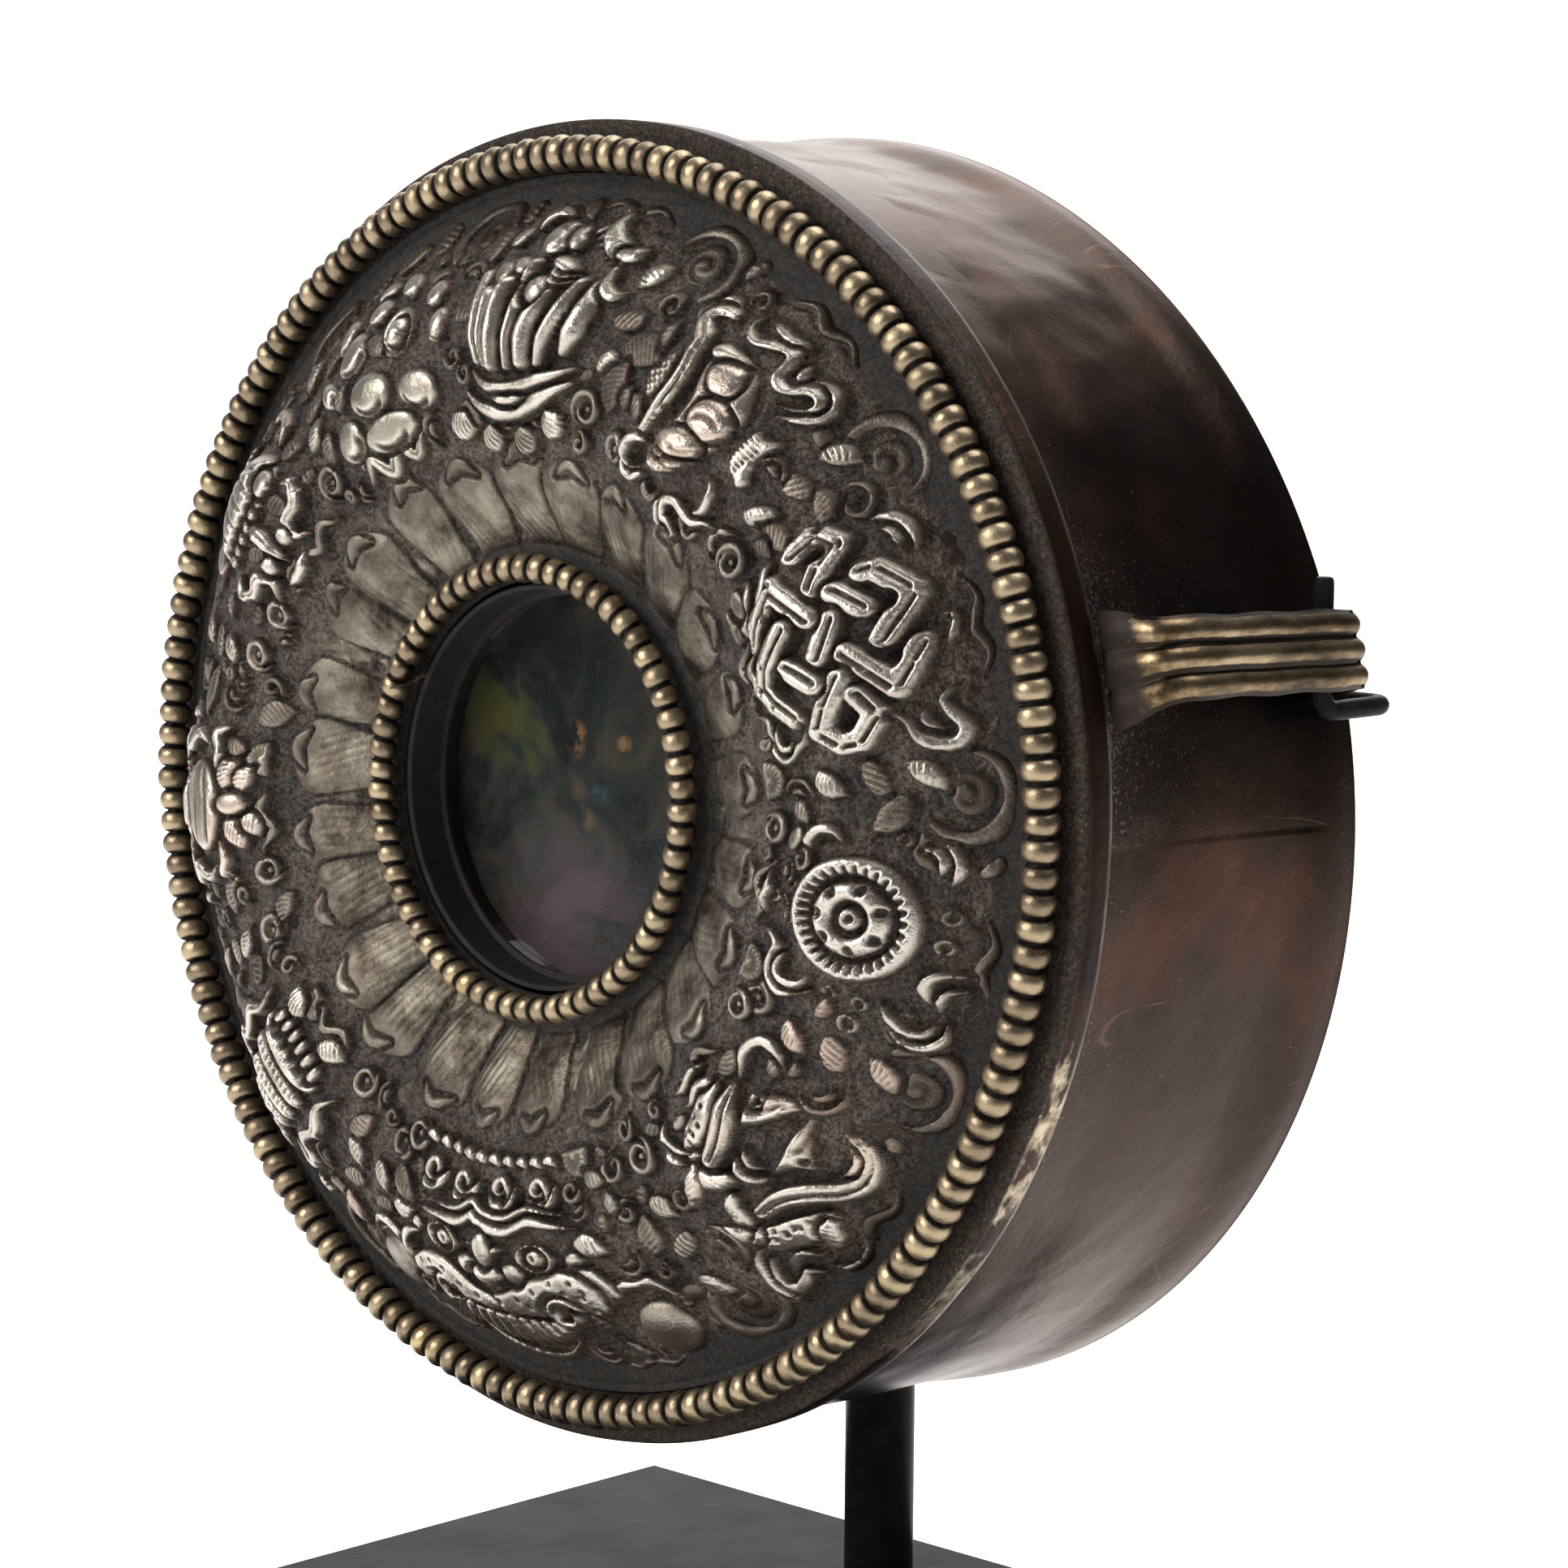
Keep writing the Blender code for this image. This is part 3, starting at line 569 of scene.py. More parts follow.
def fish_pair(relief, spot):
    """Two beaked heads between curled bars, and the two spotted fish beside them."""
    relief.slab(spot, [(-9.0, 0.6), (-6.4, 2.0), (-4.6, 3.1), (-3.6, 4.7), (-2.7, 3.0), (0.3, 1.2),
                       (-2.8, 0.7),
                       (-5.0, 0.3)], 1.9, 0.9, 0.6, corners=True)
    relief.pit(spot, (-3.7, 3.0), 0.62, 1.2)
    relief.chase(spot, [(-8.0, 0.9), (-6.2, 1.5), (-4.3, 2.0)], 0.9, 0.36)
    relief.slab(spot, [(-8.9, 0.0), (-9.6, -1.6), (-8.5, -4), (-7.4, -5.8), (-6.0, -6.5), (-4.0, -5.7),
                       (-2.1, -4.5), (-3.6, -3.2), (-6.0, -1.8), (-7.8, -0.9)], 1.9, 0.9, 0.6, corners=True)
    relief.boss(spot, (-6.4, -5.0), (1.1, 0.9), 1.9, ring=0.55)
    relief.chase(spot, [(-8.8, -0.8), (-7.9, -2.2), (-6.6, -2.9), (-5.0, -4.0)], 0.9, 0.34)
    relief.stroke(spot, [(0.3, 1.2), (1.6, 0.4), (2.2, -1.0), (1.8, -2.2), (1.0, -3.1)], 1.1, 1.5)
    relief.stroke(spot, [(0.0, 0.0), (0.5, -1.2), (-0.5, -3.0)], 0.9, 1.2)
    relief.stroke(spot, [(-8.7, 5.0), (-8.6, 6.8), (-7.2, 8.2), (-5.0, 8.5), (-3.2, 7.6), (-1.6, 5.8),
                         (0.2, 4.3),
                         (2.2, 3.3), (4.7, 2.8)], 2.0, 1.8, (0.4, 0.7), groove=1.0)
    relief.stroke(spot, [(-7.4, 5.3), (-7.0, 6.7), (-5.6, 7.1), (-4.2, 6.4)], 0.8, 1.1)
    relief.stroke(spot, [(-5.6, -8.9), (-3.0, -7.7), (-0.8, -6.4), (1.6, -5.5), (4.2, -5.1)], 2.3, 1.9,
                  (0.3, 0.8),
                  groove=1.0)
    relief.stroke(spot, [(0.6, 8.0), (3.0, 7.0), (5.6, 5.9), (9.2, 4.2)], 2.5, 1.6, (0.7, 0.4))
    relief.stroke(spot, [(1.2, 8.4), (2.9, 9.7)], 1.9, 1.6, (0.8, 0.7), ribs=(0.7, 0.0, 0.4))
    relief.stroke(spot, [(-2.8, -10.8), (-0.2, -10.3), (2.5, -9.2), (5.0, -8.6), (7.7, -7.4)], 2.7, 1.6,
                  (0.5, 0.5))
    for spots in (((1.1, 7.6), (2.1, 6.9), (3.1, 6.7), (3.6, 6.3), (4.7, 6.2), (6.3, 5.7), (7.0, 5.1),
                   (6.4, 4.5),
                   (5.6, 5.0)),
                  ((2.3, -8.8), (4.0, -8.6), (5.4, -8.2), (2.2, -10.1), (4.2, -9.4), (5.4, -9.6),
                   (0.2, -10.2))):
        for centre in spots:
            relief.pit(spot, centre, 0.34, 0.75)
    for points, width in (
        ([(6.8, 3.4), (8.0, 4.2), (9.6, 3.6)], 1.0),
        ([(5.2, -6.4), (6.6, -7.0), (8.0, -6.6)], 0.9),
        ([(8.6, 2.9), (7.4, 1.6), (6.9, 0.2), (6.1, -0.7)], 1.8),
        ([(8.6, 2.9), (9.8, 2.4), (11.2, 1.0)], 1.9),
        ([(8.2, -6.2), (7.4, -4.4), (6.4, -3.0), (4.4, -2.1)], 1.9),
        ([(8.0, -6.2), (9.6, -4.8), (11.6, -3.4)], 2.0),
    ):
        relief.stroke(spot, points, width, 1.5, (0.5, 0.7), ribs=(0.9, 0.9, 0.25))
    for points, width in (
        ([(6.9, 10.5), (8.0, 9.5), (9.2, 10.1), (10.3, 10.2), (11.1, 9.2), (10.8, 7.6), (9.5, 6.1)], 1.2),
        ([(11.4, 11.2), (12.1, 9.6), (12.0, 7.6), (10.9, 5.6), (9.8, 4.7)], 0.9),
        ([(5.0, 9.8), (6.0, 8.2), (7.6, 7.9), (9.0, 8.8)], 0.8),
        ([(1.2, 11.6), (3.0, 12.4), (5.0, 11.8), (5.5, 10.4)], 0.9),
        ([(-10.8, -4.8), (-12.6, -6.2), (-12.8, -8.4), (-10.8, -9.9), (-8.2, -9.9), (-6.4, -8.9)], 1.3),
        ([(7.8, -8.0), (9.4, -9.4), (10.6, -11.6), (9.6, -13.2)], 1.1),
        ([(9.2, -7.2), (10.8, -8.8), (11.3, -10.6)], 1.0),
        ([(-4.6, -12.2), (-2.4, -12.0), (0.0, -12.8), (2.4, -12.0), (4.4, -12.6)], 1.1),
        ([(-2.6, -14.4), (0.0, -14.9), (2.8, -14.2), (5.2, -14.8)], 1.0),
    ):
        relief.stroke(spot, points, width, 1.2, (0.35, 0.35))
    relief.pit(spot, (-9.6, -7.5), 1.2, 0.6)
    relief.boss(spot, (7.0, -11.9), (1.5, 1.0), 1.0)


def beast_face(relief, spot):
    """A horned beast's face that bites a band held in its spotted arms. Its brow is towards the window."""
    for x, hand in ((-11.0, 1), (-3.2, 1), (4.4, -1), (11.4, -1)):
        relief.stroke(spot, [(x - 3.2, -10.8), (x - 1.6, -8.7), (x + 0.8, -8.2), (x + 2.6, -9.5)], 1.3, 1.2)
        relief.stroke(spot, spiral_points(1.7, 1.2, 120, hand, (x, -10.3)), 0.9, 1.0)
    for y, width in ((-5.6, 1.5), (-7.2, 0.8)):
        brow = [(-16, 0.4), (-12, -0.3), (-8.4, -0.9), (-4, 0.4), (0, 0), (2.2, -1.0), (5, 0.4), (9, 0.8),
                (14, 1.2)]
        relief.stroke(spot, [(x, y + dy) for x, dy in brow], width, 1.2)
    for x in range(-13, 15, 3):
        relief.stroke(spot, [(x - 1.2, -12.8), (x, -13.9), (x + 1.4, -13.2)], 1.1, 0.9)
    arm_left = [(-14.6, 4.4), (-13.8, 2.3), (-10.4, 1.9), (-6.4, 3.4), (-2.0, 4.9), (1.8, 5.4)]
    arm_right = [(1.8, 5.4), (5.2, 4.7), (8.6, 3.2), (12.0, 3.4), (14.8, 5.0)]
    for arm in (arm_left, arm_right):
        relief.stroke(spot, arm, 3.6, 1.6, (0.7, 0.7))
        path = smooth(arm, steps=5)
        for index, point in enumerate(path[::2]):
            relief.pit(spot, point + (0, 0.75 * (-1) ** index), 0.34, 0.6)
    for side in (-1, 1):
        relief.stroke(spot, spiral_points(2.4, 1.3, 180, -side, (side * 9.8, 5.6)), 1.0, 1.5, (0.6, 0.3))
        relief.boss(spot, (side * 8.5, -1.9), (3.3, 2.0), 1.3, ring=0.66)
        relief.boss(spot, (side * 8.4, -1.9), (1.5, 1.2), 1.5)
        relief.pit(spot, (side * 8.2, -1.9), 0.45, 0.5)
        relief.stroke(spot, [(side * 3.4, -3.0), (side * 1.6, -2.3), (side * 0.6, -1.4)], 0.9, 1.3)
        relief.boss(spot, (side * 3.9, 0.3), (2.1, 1.5), 1.9)
        relief.boss(spot, (side * 14.6, -1.4), (1.5, 1.2), 1.3)
        leaf(relief, spot, (side * 15.2, -3.6), (side * 20, -1.4), 2.4)
        relief.stroke(spot, [(side * 14.5, -0.2), (side * 16.8, 1.0), (side * 17.6, 3.2),
                             (side * 16.2, 5.4)], 1.4, 1.2)
    relief.boss(spot, (0.4, 0.9), (2.6, 1.6), 2.3)
    relief.boss(spot, (0.6, -2.3), (1.7, 2.4), 1.9)
    for x in np.linspace(-7.4, 7.4, 9):
        reach = 10.6 - 0.03 * x * x
        relief.stroke(spot, [(x * 0.94, 7.0), (x, 8.8), (x * 1.05, reach)], 1.5, 1.4, (0.9, 0.3))
    relief.stroke(spot, [(-9.4, 7.9), (-5, 11.3), (0, 12.2), (5, 11.3), (9.4, 7.9)], 0.9, 0.9)


def lotus_head(relief, spot):
    """A full lotus of overlapping rounded petals above a wavy ribbon."""
    wavy_ribbon(relief, Spot(spot.angle + 1.0, spot.radius - 12.6), 7.6, 2.4, 1.3)
    petals = (
        ((-9.4, 0.4), (1.6, 2.8), 30), ((12.4, 0.9), (1.5, 2.3), -20), ((0.8, 9.4), (2.1, 1.6), 0),
        ((5.3, 8.2), (2.0, 1.8), -35), ((-6.4, 7.2), (2.6, 2.0), 30), ((10.6, 5.2), (1.8, 2.0), -30),
        ((-7.6, -7.4), (3.0, 2.6), 25), ((8.4, -6.2), (3.4, 2.6), -25), ((-3.8, 3.0), (3.1, 2.9), 20),
        ((4.9, 2.2), (2.8, 3.3), -10), ((0.6, 6.6), (2.2, 1.9), 0), ((-0.6, -4.0), (3.7, 2.9), -12),
        ((1.0, -9.6), (4.6, 2.4), 0),
    )
    for centre, size, turn in petals:
        relief.boss(spot, centre, size, 1.7, turn=turn, full=0.32)
        c = (centre[0], centre[1] - size[1] * 0.1)
        rim = wheel_points(1.0, 200 + turn, 340 + turn, 8) * (size[0] * 0.72, size[1] * 0.72) + c
        relief.chase(spot, rim, 0.75, 0.26)
    relief.boss(spot, (5.4, 2.0), (1.5, 1.9), 2.6, turn=-10)


# ---------------------------------------------------------------- relief: motifs on the blurred far side


def parasol(relief, spot):
    """A domed canopy with ribs, a finial and trailing ribbons."""
    relief.slab(spot, [(-8, -0.6), (-6.4, 3.6), (-2.6, 6.4), (2.6, 6.4), (6.4, 3.6), (8, -0.6), (0, -2.0)],
                1.7, 1.4, 1.0)
    for x in (-5, -2.5, 0, 2.5, 5):
        relief.chase(spot, [(x * 0.35, 6.2), (x * 0.85, 3.2), (x * 1.15, -0.9)], 0.5, 0.26)
    for x in np.linspace(-7, 7, 8):
        relief.boss(spot, (x, -2.2 + 0.02 * x * x), (1.0, 1.2), 1.6)
    relief.boss(spot, (5.0, -0.9), (1.9, 2.2), 2.7)
    relief.boss(spot, (0, 8.6), (1.7, 1.9), 1.9)
    relief.stroke(spot, [(-2.2, 10.8), (0, 11.8), (2.2, 10.8)], 1.0, 1.2)
    relief.stroke(spot, [(0, -3.4), (0.2, -7.4), (-0.2, -10.6)], 1.8, 1.6, groove=0.5)
    for side in (-1, 1):
        relief.stroke(spot, [(side * 7.6, -3.8), (side * 9.6, -5.6), (side * 8.2, -8.0), (side * 5.4, -8.2),
                             (side * 4.4, -10.4), (side * 6.6, -11.8)], 1.5, 1.5, groove=0.5)
        relief.stroke(spot, [(side * 8.6, 1.6), (side * 10.6, 3.4), (side * 10.0, 6.4), (side * 7.4, 7.6)],
                      1.3, 1.4)
        relief.boss(spot, (side * 2.7, -8.9), (1.3, 1.6), 1.8)
    relief.stroke(spot, [(-3.4, -12.6), (0, -13.4), (3.4, -12.6)], 1.4, 1.2)


def treasure_vase(relief, spot):
    """A round-bellied vase with a jewelled stopper and a scarf about its foot."""
    relief.boss(spot, (0, -1.2), (6.2, 4.9), 2.2)
    for y, x in ((-2.6, 5.2), (0.6, 5.6)):
        relief.chase(spot, [(-x, y), (0, y - 1.2), (x, y)], 0.5, 0.28)
    relief.slab(spot, [(-3.2, 3.0), (-2.0, 4.8), (-3.8, 6.6), (3.8, 6.6), (2.0, 4.8), (3.2, 3.0)], 1.8, 0.7,
                0.5)
    for x, y, size in ((0, 9.2, 2.0), (-2.6, 8.2, 1.4), (2.6, 8.2, 1.4), (0, 11.6, 1.1)):
        relief.boss(spot, (x, y), (size, size * 1.15), 1.9)
    for side in (-1, 1):
        relief.stroke(spot, [(side * 3.2, 6.2), (side * 6.8, 7.4), (side * 8.8, 5.0), (side * 7.6, 2.4),
                             (side * 9.4, -0.4), (side * 8.2, -3.6)], 1.6, 1.6, groove=0.5)
        relief.stroke(spot, [(side * 5.0, -5.4), (side * 7.8, -6.2), (side * 9.8, -4.8),
                             (side * 11.2, -7.0)], 1.3, 1.3)
        leaf(relief, spot, (side * 2.0, -7.0), (side * 7.2, -9.6), 2.6)
        leaf(relief, spot, (side * 1.4, -9.8), (side * 5.6, -12.2), 2.2)
        relief.stroke(spot, [(side * 9.8, 8.6), (side * 11.2, 6.4), (side * 10.6, 4.2)], 1.2, 1.2)
    relief.boss(spot, (0, -8.4), (1.6, 2.6), 1.8)


def victory_banner(relief, spot):
    """A tasselled round banner in tiers, with flames above it."""
    for y, half in ((5.0, 3.4), (1.6, 4.6), (-2.0, 5.6), (-5.6, 6.2)):
        relief.slab(spot, [(-half, y + 1.0), (0, y + 2.2), (half, y + 1.0), (half * 1.08, y - 1.4),
                           (0, y - 1.9),
                           (-half * 1.08, y - 1.4)], 1.6, 0.8, 0.7)
        relief.hatch(spot, [(-half, y - 0.2), (half, y - 0.2), (half, y - 1.6), (0, y - 1.9),
                            (-half, y - 1.6)],
                     90, 1.1, 0.5)
    for x in np.linspace(-5.4, 5.4, 6):
        relief.boss(spot, (x, -8.4 + 0.03 * x * x), (0.9, 1.5), 1.5)
    relief.boss(spot, (0, 8.4), (2.3, 2.0), 2.1)
    for x, top in ((-2.6, 10.4), (0, 12.0), (2.6, 10.4)):
        relief.stroke(spot, [(x * 0.6, 9.4), (x, 10.4), (x * 0.8, top)], 1.5, 1.5, (0.9, 0.2))
    for side in (-1, 1):
        relief.stroke(spot, [(side * 5.4, 5.6), (side * 8.0, 6.8), (side * 9.6, 4.4), (side * 8.2, 1.6),
                             (side * 10.0, -1.2), (side * 8.8, -4.4), (side * 10.4, -7.2)], 1.6, 1.6,
                      groove=0.5)
        relief.stroke(spot, [(side * 7.4, 9.8), (side * 9.2, 10.6), (side * 11.0, 9.0)], 1.2, 1.2)
        leaf(relief, spot, (side * 2.4, -10.4), (side * 8.0, -11.8), 2.4)


# ---------------------------------------------------------------- relief: the whole plate


def lotus_ring(relief):
    """The broad uneven petals round the window, their outer ends turned up."""
    count = 25
    rng = np.random.default_rng(SEED)
    for index in rng.permutation(count):
        angle = 49 - 360 / count * index + rng.uniform(-1.5, 1.5)
        spot = Spot(angle, 37.2 + rng.uniform(-0.9, 0.9), turn=rng.uniform(-7, 7))
        half = 6.9 + rng.uniform(-1.2, 1.0)
        tip = rng.uniform(-0.3, 0.3) * half
        outline = [(-half * 0.62, -9.5), (-half * 0.86, -4), (-half, 1.2), (-half * 0.72, 3.8), (tip, 5.4),
                   (half * 0.76, 3.5), (half, 1.0), (half * 0.86, -4), (half * 0.62, -9.5)]
        relief.shine = rng.uniform(0.1, 0.35)
        relief.slab(spot, outline, rng.uniform(0.5, 0.9), 2.4, 0.3, lift=0.0)
        relief.shine = rng.uniform(0.4, 0.9)
        relief.stroke(spot, [(tip - half * 0.5, 2.9), (tip, 4.4), (tip + half * 0.45, 3.1)], 1.5, 0.5,
                      (0.3, 0.3),
                      flat=0.8)
        relief.hatch(spot, [(-half * 0.7, -6.4), (-half * 0.74, 0.4), (half * 0.74, 0.2),
                            (half * 0.7, -6.4)],
                     90 + rng.uniform(-25, 25), 1.1, 0.12)


def inner_scrolls(relief):
    """Shells, volutes and ribbons between the petals and the emblems."""
    for angle in (74, 41, 38, -24, -58, 132, 164, 207, 250):
        volute(relief, Spot(angle, 48.6), 2.5, 1 if angle % 2 else -1)
    for angle in (6.7, -20.5, 99, 30, 148, 180, 222, -72):
        shell_fan(relief, Spot(angle, 45.2), 2.9)
    for angle in (0, -27, 66, 47, 122, 156, 198, 238, -107):
        volute(relief, Spot(angle, 46.2), 2.2, -1)
    for angle in (-9.5, -40, 22, 55, 88, 140, 190, 228):
        wavy_ribbon(relief, Spot(angle, 45.0), 5.2, 1.6, 0.9, 1.0)


def outer_clouds(relief):
    """Scroll clouds along the foot of the dome."""
    for index, angle in enumerate((101, 69, 38, 4.5, -25, -58, 128, 165, 206, 243)):
        cloud(relief, Spot(angle, 68.6, mirror=index % 2 == 1))
    for angle in (81, 53, 20, -12, -40, 147, 186, 226, -75, -105):
        relief.stroke(Spot(angle, 71.4), [(-5, -0.6), (-2.5, 0.7), (0, -0.3), (2.5, 0.7), (5, -0.6)], 1.0,
                      0.5, flat=0.8)


def fill_gaps(relief):
    """Small leaves, curls, ovals and crescents wherever the ground is still bare."""
    rng = np.random.default_rng(SEED + 20)
    for attempt in range(FILL_ATTEMPTS):
        spot = Spot(rng.uniform(0, 360), rng.uniform(44.0, 71.0), turn=rng.uniform(-80, 80))
        size = rng.uniform(1.9, 3.2) * (1 - 0.45 * attempt / FILL_ATTEMPTS)
        if relief.busy(spot, size):
            continue
        kind = rng.integers(5)
        if kind < 2:
            leaf(relief, spot, (-size * 1.15, -0.3 * size), (size * 1.15, 0.4 * size), size * 1.05, 0.4,
                 0.8, 0.85)
        elif kind == 2:
            relief.stroke(spot, spiral_points(size * 0.85, 1.2, 200, rng.choice((-1, 1))), 0.75, 0.75,
                          (0.4, 0.6))
        elif kind == 3:
            relief.boss(spot, (0, 0), (size * 0.85, size * 0.6), 0.9)
            relief.hatch(spot, wheel_points(size * 0.6, count=10), 80, 0.75, 0.5)
        else:
            for radius in (size, size * 0.45):
                relief.stroke(spot, wheel_points(radius, 20, 190, 7), 0.75, 0.7, (0.3, 0.3))


FILL_ATTEMPTS = 2200
EMBLEMS = (   # shape, angle, radius, half size of its mound, rise of the mound
    (crown_jewels, 89.5, 59.1, (13.5, 12), 2.6), (conch, 55, 57.5, (12.5, 11.5), 2.5),
    (endless_knot, 22, 58.5, (13, 11.5), 2.3), (eight_wheel, -9, 59, (12.5, 11), 2.2),
    (fish_pair, -41, 60.5, (13, 11), 2.4), (beast_face, -90, 59, (19, 11), 2.5),
    (lotus_head, 116, 57, (12.5, 12), 2.8), (parasol, 147, 58.5, (12.5, 12), 2.8),
    (treasure_vase, 187, 58.5, (12.5, 12), 2.8), (victory_banner, 225, 58.5, (12.5, 12), 2.8),
)
LEAF_TRIOS = ((73, False), (40.5, False), (6.5, False), (-25, False), (-59, True), (131, False),
              (166, False),
              (206, True), (247, True), (-119, True))


def chased_plate():
    """The whole front plate's relief."""
    relief = Relief(PLATE_INNER, PLATE_OUTER, 1536, 236)
    for _, angle, radius, size, rise in EMBLEMS:
        relief.swell(Spot(angle, radius), (0, -1), size, rise)
    relief.ground += 0.45 * value_noise(relief.x + 200, relief.y + 200, 5.5, SEED)
    pebbles = value_noise(relief.x + 200, relief.y + 200, 1.6, SEED + 2)
    grain = value_noise(relief.x + 200, relief.y + 200, 0.7, SEED + 1)
    relief.height = relief.ground - 0.3 + 0.36 * pebbles + 0.24 * grain
    lotus_ring(relief)
    relief.shine = 0.42
    outer_clouds(relief)
    relief.shine = 0.6
    inner_scrolls(relief)
    relief.shine = 0.8
    for angle, mirror in LEAF_TRIOS:
        leaf_trio(relief, angle, mirror=mirror)
    relief.shine = 1.0
    for x in (-21, 21):
        relief.boss(Spot(-90, 59), (x, 8.6), (4.4, 3.6), 2.6, full=0.7)
        relief.chase(Spot(-90, 59), [(x - 3.6, 5.2), (x, 3.9), (x + 3.6, 5.2)], 0.6, 0.4)
        relief.stroke(Spot(-90, 59), [(x - 4.6, 6.2), (x - 2.4, 3.2), (x + 2.4, 3.2), (x + 4.6, 6.2)], 1.3,
                      1.2)
    for emblem, angle, radius, _, _ in EMBLEMS:
        emblem(relief, Spot(angle, radius))
    relief.shine = 0.5
    fill_gaps(relief)
    return relief


# ---------------------------------------------------------------- meshes


def mesh_object(name, points, quads, caps=(), masks=None, sharp=40.0):
    """A smooth-shaded mesh of quads and end caps, its faces turned outward."""
    corners = points[quads]
    flow = np.cross(corners[:, 2] - corners[:, 0], corners[:, 3] - corners[:, 1])
    if (flow * (corners.mean(1) - points.mean(0))).sum() < 0:
        quads = quads[:, ::-1]
        caps = [cap[::-1] for cap in caps]
    mesh = bpy.data.meshes.new(name)
    mesh.from_pydata(points.tolist(), [], quads.tolist() + [list(map(int, cap)) for cap in caps])
    mesh.shade_smooth()
    mesh.set_sharp_from_angle(angle=math.radians(sharp))
    for key, values in (masks or {}).items():
        layer = mesh.attributes.new(key, "FLOAT", "POINT")
        layer.data.foreach_set("value", np.ascontiguousarray(values, np.float32).ravel())
    piece = bpy.data.objects.new(name, mesh)
    bpy.context.scene.collection.objects.link(piece)
    return piece


def skin(name, grid, close_rows=False, close_columns=True, cap=False, masks=None, sharp=40.0):
    """A mesh over a grid of world points, one row of quads between each two rows of points."""
    rows, columns = grid.shape[:2]
    index = np.arange(rows * columns).reshape(rows, columns)
    caps = [index[0], index[-1][::-1]] if cap else []
    if close_rows:
        index = np.vstack([index, index[:1]])
    if close_columns:
        index = np.hstack([index, index[:, :1]])
    quads = np.stack([index[:-1, :-1], index[1:, :-1], index[1:, 1:], index[:-1, 1:]], -1).reshape(-1, 4)
    return mesh_object(name, grid.reshape(-1, 3), quads, caps, masks, sharp)


def turn(radius, height, theta):
    """Drum-frame points of a turned surface. All three arrays share one shape."""
    return np.stack([radius * np.cos(theta), radius * np.sin(theta), height], -1)


def rounded(profile, radius, steps=4):
    """A profile with each inner corner cut back and rounded."""
    profile = np.asarray(profile, float)
    made = [profile[0]]
    for before, corner, after in zip(profile, profile[1:], profile[2:]):
        first, second = before - corner, after - corner
        reach = min(radius, 0.45 * np.hypot(*first), 0.45 * np.hypot(*second))
        start = corner + first / np.hypot(*first) * reach
        end = corner + second / np.hypot(*second) * reach
        for share in np.linspace(0, 1, steps + 1):
            made.append((1 - share) ** 2 * start + 2 * share * (1 - share) * corner + share**2 * end)
    return np.vstack(made + [profile[-1]])


def lathe(name, profile, columns, radius=0.25, close_rows=True, cap=False):
    """A turned piece about the drum's axis from a profile of (radius, height)."""
    profile = np.asarray(profile, float)
    outline = rounded(profile, radius)
    theta = np.arange(columns) * 2 * math.pi / columns
    r, t = np.meshgrid(outline[:, 0], theta, indexing="ij")
    h = np.repeat(outline[:, 1:2], columns, 1)
    return skin(name, place(turn(r, h, t)), close_rows, cap=cap)


def tube(name, path, radius, sides=20, tips=3):
    """A round wire along a path of world points, its ends a little rounded."""
    path = np.asarray(path, float)
    run = np.gradient(path, axis=0)
    run /= np.linalg.norm(run, axis=1)[:, None]
    side = np.cross(run[0], (0.3, 0.9, 0.2))
    rings = []
    thin = np.ones(len(path))
    for step in range(tips):
        thin[step] = thin[-1 - step] = math.sin(math.pi / 2 * (step + 1) / (tips + 1)) ** 0.5
    for centre, along, scale in zip(path, run, thin):
        side = side - along * side.dot(along)
        side /= np.linalg.norm(side)
        other = np.cross(along, side)
        angles = np.arange(sides) * 2 * math.pi / sides
        circle = np.outer(np.cos(angles), side) + np.outer(np.sin(angles), other)
        rings.append(centre + radius * scale * circle)
    return skin(name, np.array(rings), cap=True)


def blur(field, rows, columns):
    """A Gaussian blur over a field whose columns run round a circle, its widths in grid steps."""
    doubled = np.vstack([field, field[::-1]])
    across = np.fft.fftfreq(doubled.shape[0])[:, None]
    around = np.fft.rfftfreq(doubled.shape[1])[None, :]
    keep = np.exp(-2 * math.pi**2 * ((rows * across) ** 2 + (columns * around) ** 2))
    return np.fft.irfft2(np.fft.rfft2(doubled) * keep, doubled.shape)[: field.shape[0]]


def hammered(u, v, spacing, depth, seed):
    """Overlapping shallow hammer marks over a grid whose u runs round a circle, in millimetres."""
    rng = np.random.default_rng(seed)
    round_trip = u[0, -1] + u[0, 1] - 2 * u[0, 0]
    marks = np.zeros(u.shape)
    count = int(1.5 * round_trip * (v.max() - v.min()) / spacing**2)
    for cu, cv, reach, deep in zip(rng.uniform(0, round_trip, count), rng.uniform(v.min(), v.max(), count),
                                   rng.uniform(0.7, 1.15, count) * spacing, rng.uniform(0.4, 1, count)):
        du = (u[0] - cu + round_trip / 2) % round_trip - round_trip / 2
        columns = np.flatnonzero(np.abs(du) < reach)
        rows = np.flatnonzero(np.abs(v[:, 0] - cv) < reach * 1.5)
        if len(rows) and len(columns):
            far = (du[columns] ** 2)[None, :] + ((v[rows, 0] - cv) ** 2)[:, None] / 2.2
            dish = -depth * deep * np.clip(1 - far / reach**2, 0, 1)
            cell = np.ix_(rows, columns)
            marks[cell] = np.minimum(marks[cell], dish)
    return marks


def uneven(theta, seed, waves=14):
    """A slow unevenness round the drum, from -1 to 1."""
    rng = np.random.default_rng(seed)
    total = np.zeros(np.shape(theta))
    for k in range(2, waves):
        total += np.sin(k * theta + rng.uniform(0, 2 * math.pi)) * rng.uniform(0.3, 1) / k**0.6
    return total / 3


# ---------------------------------------------------------------- pieces of the lid


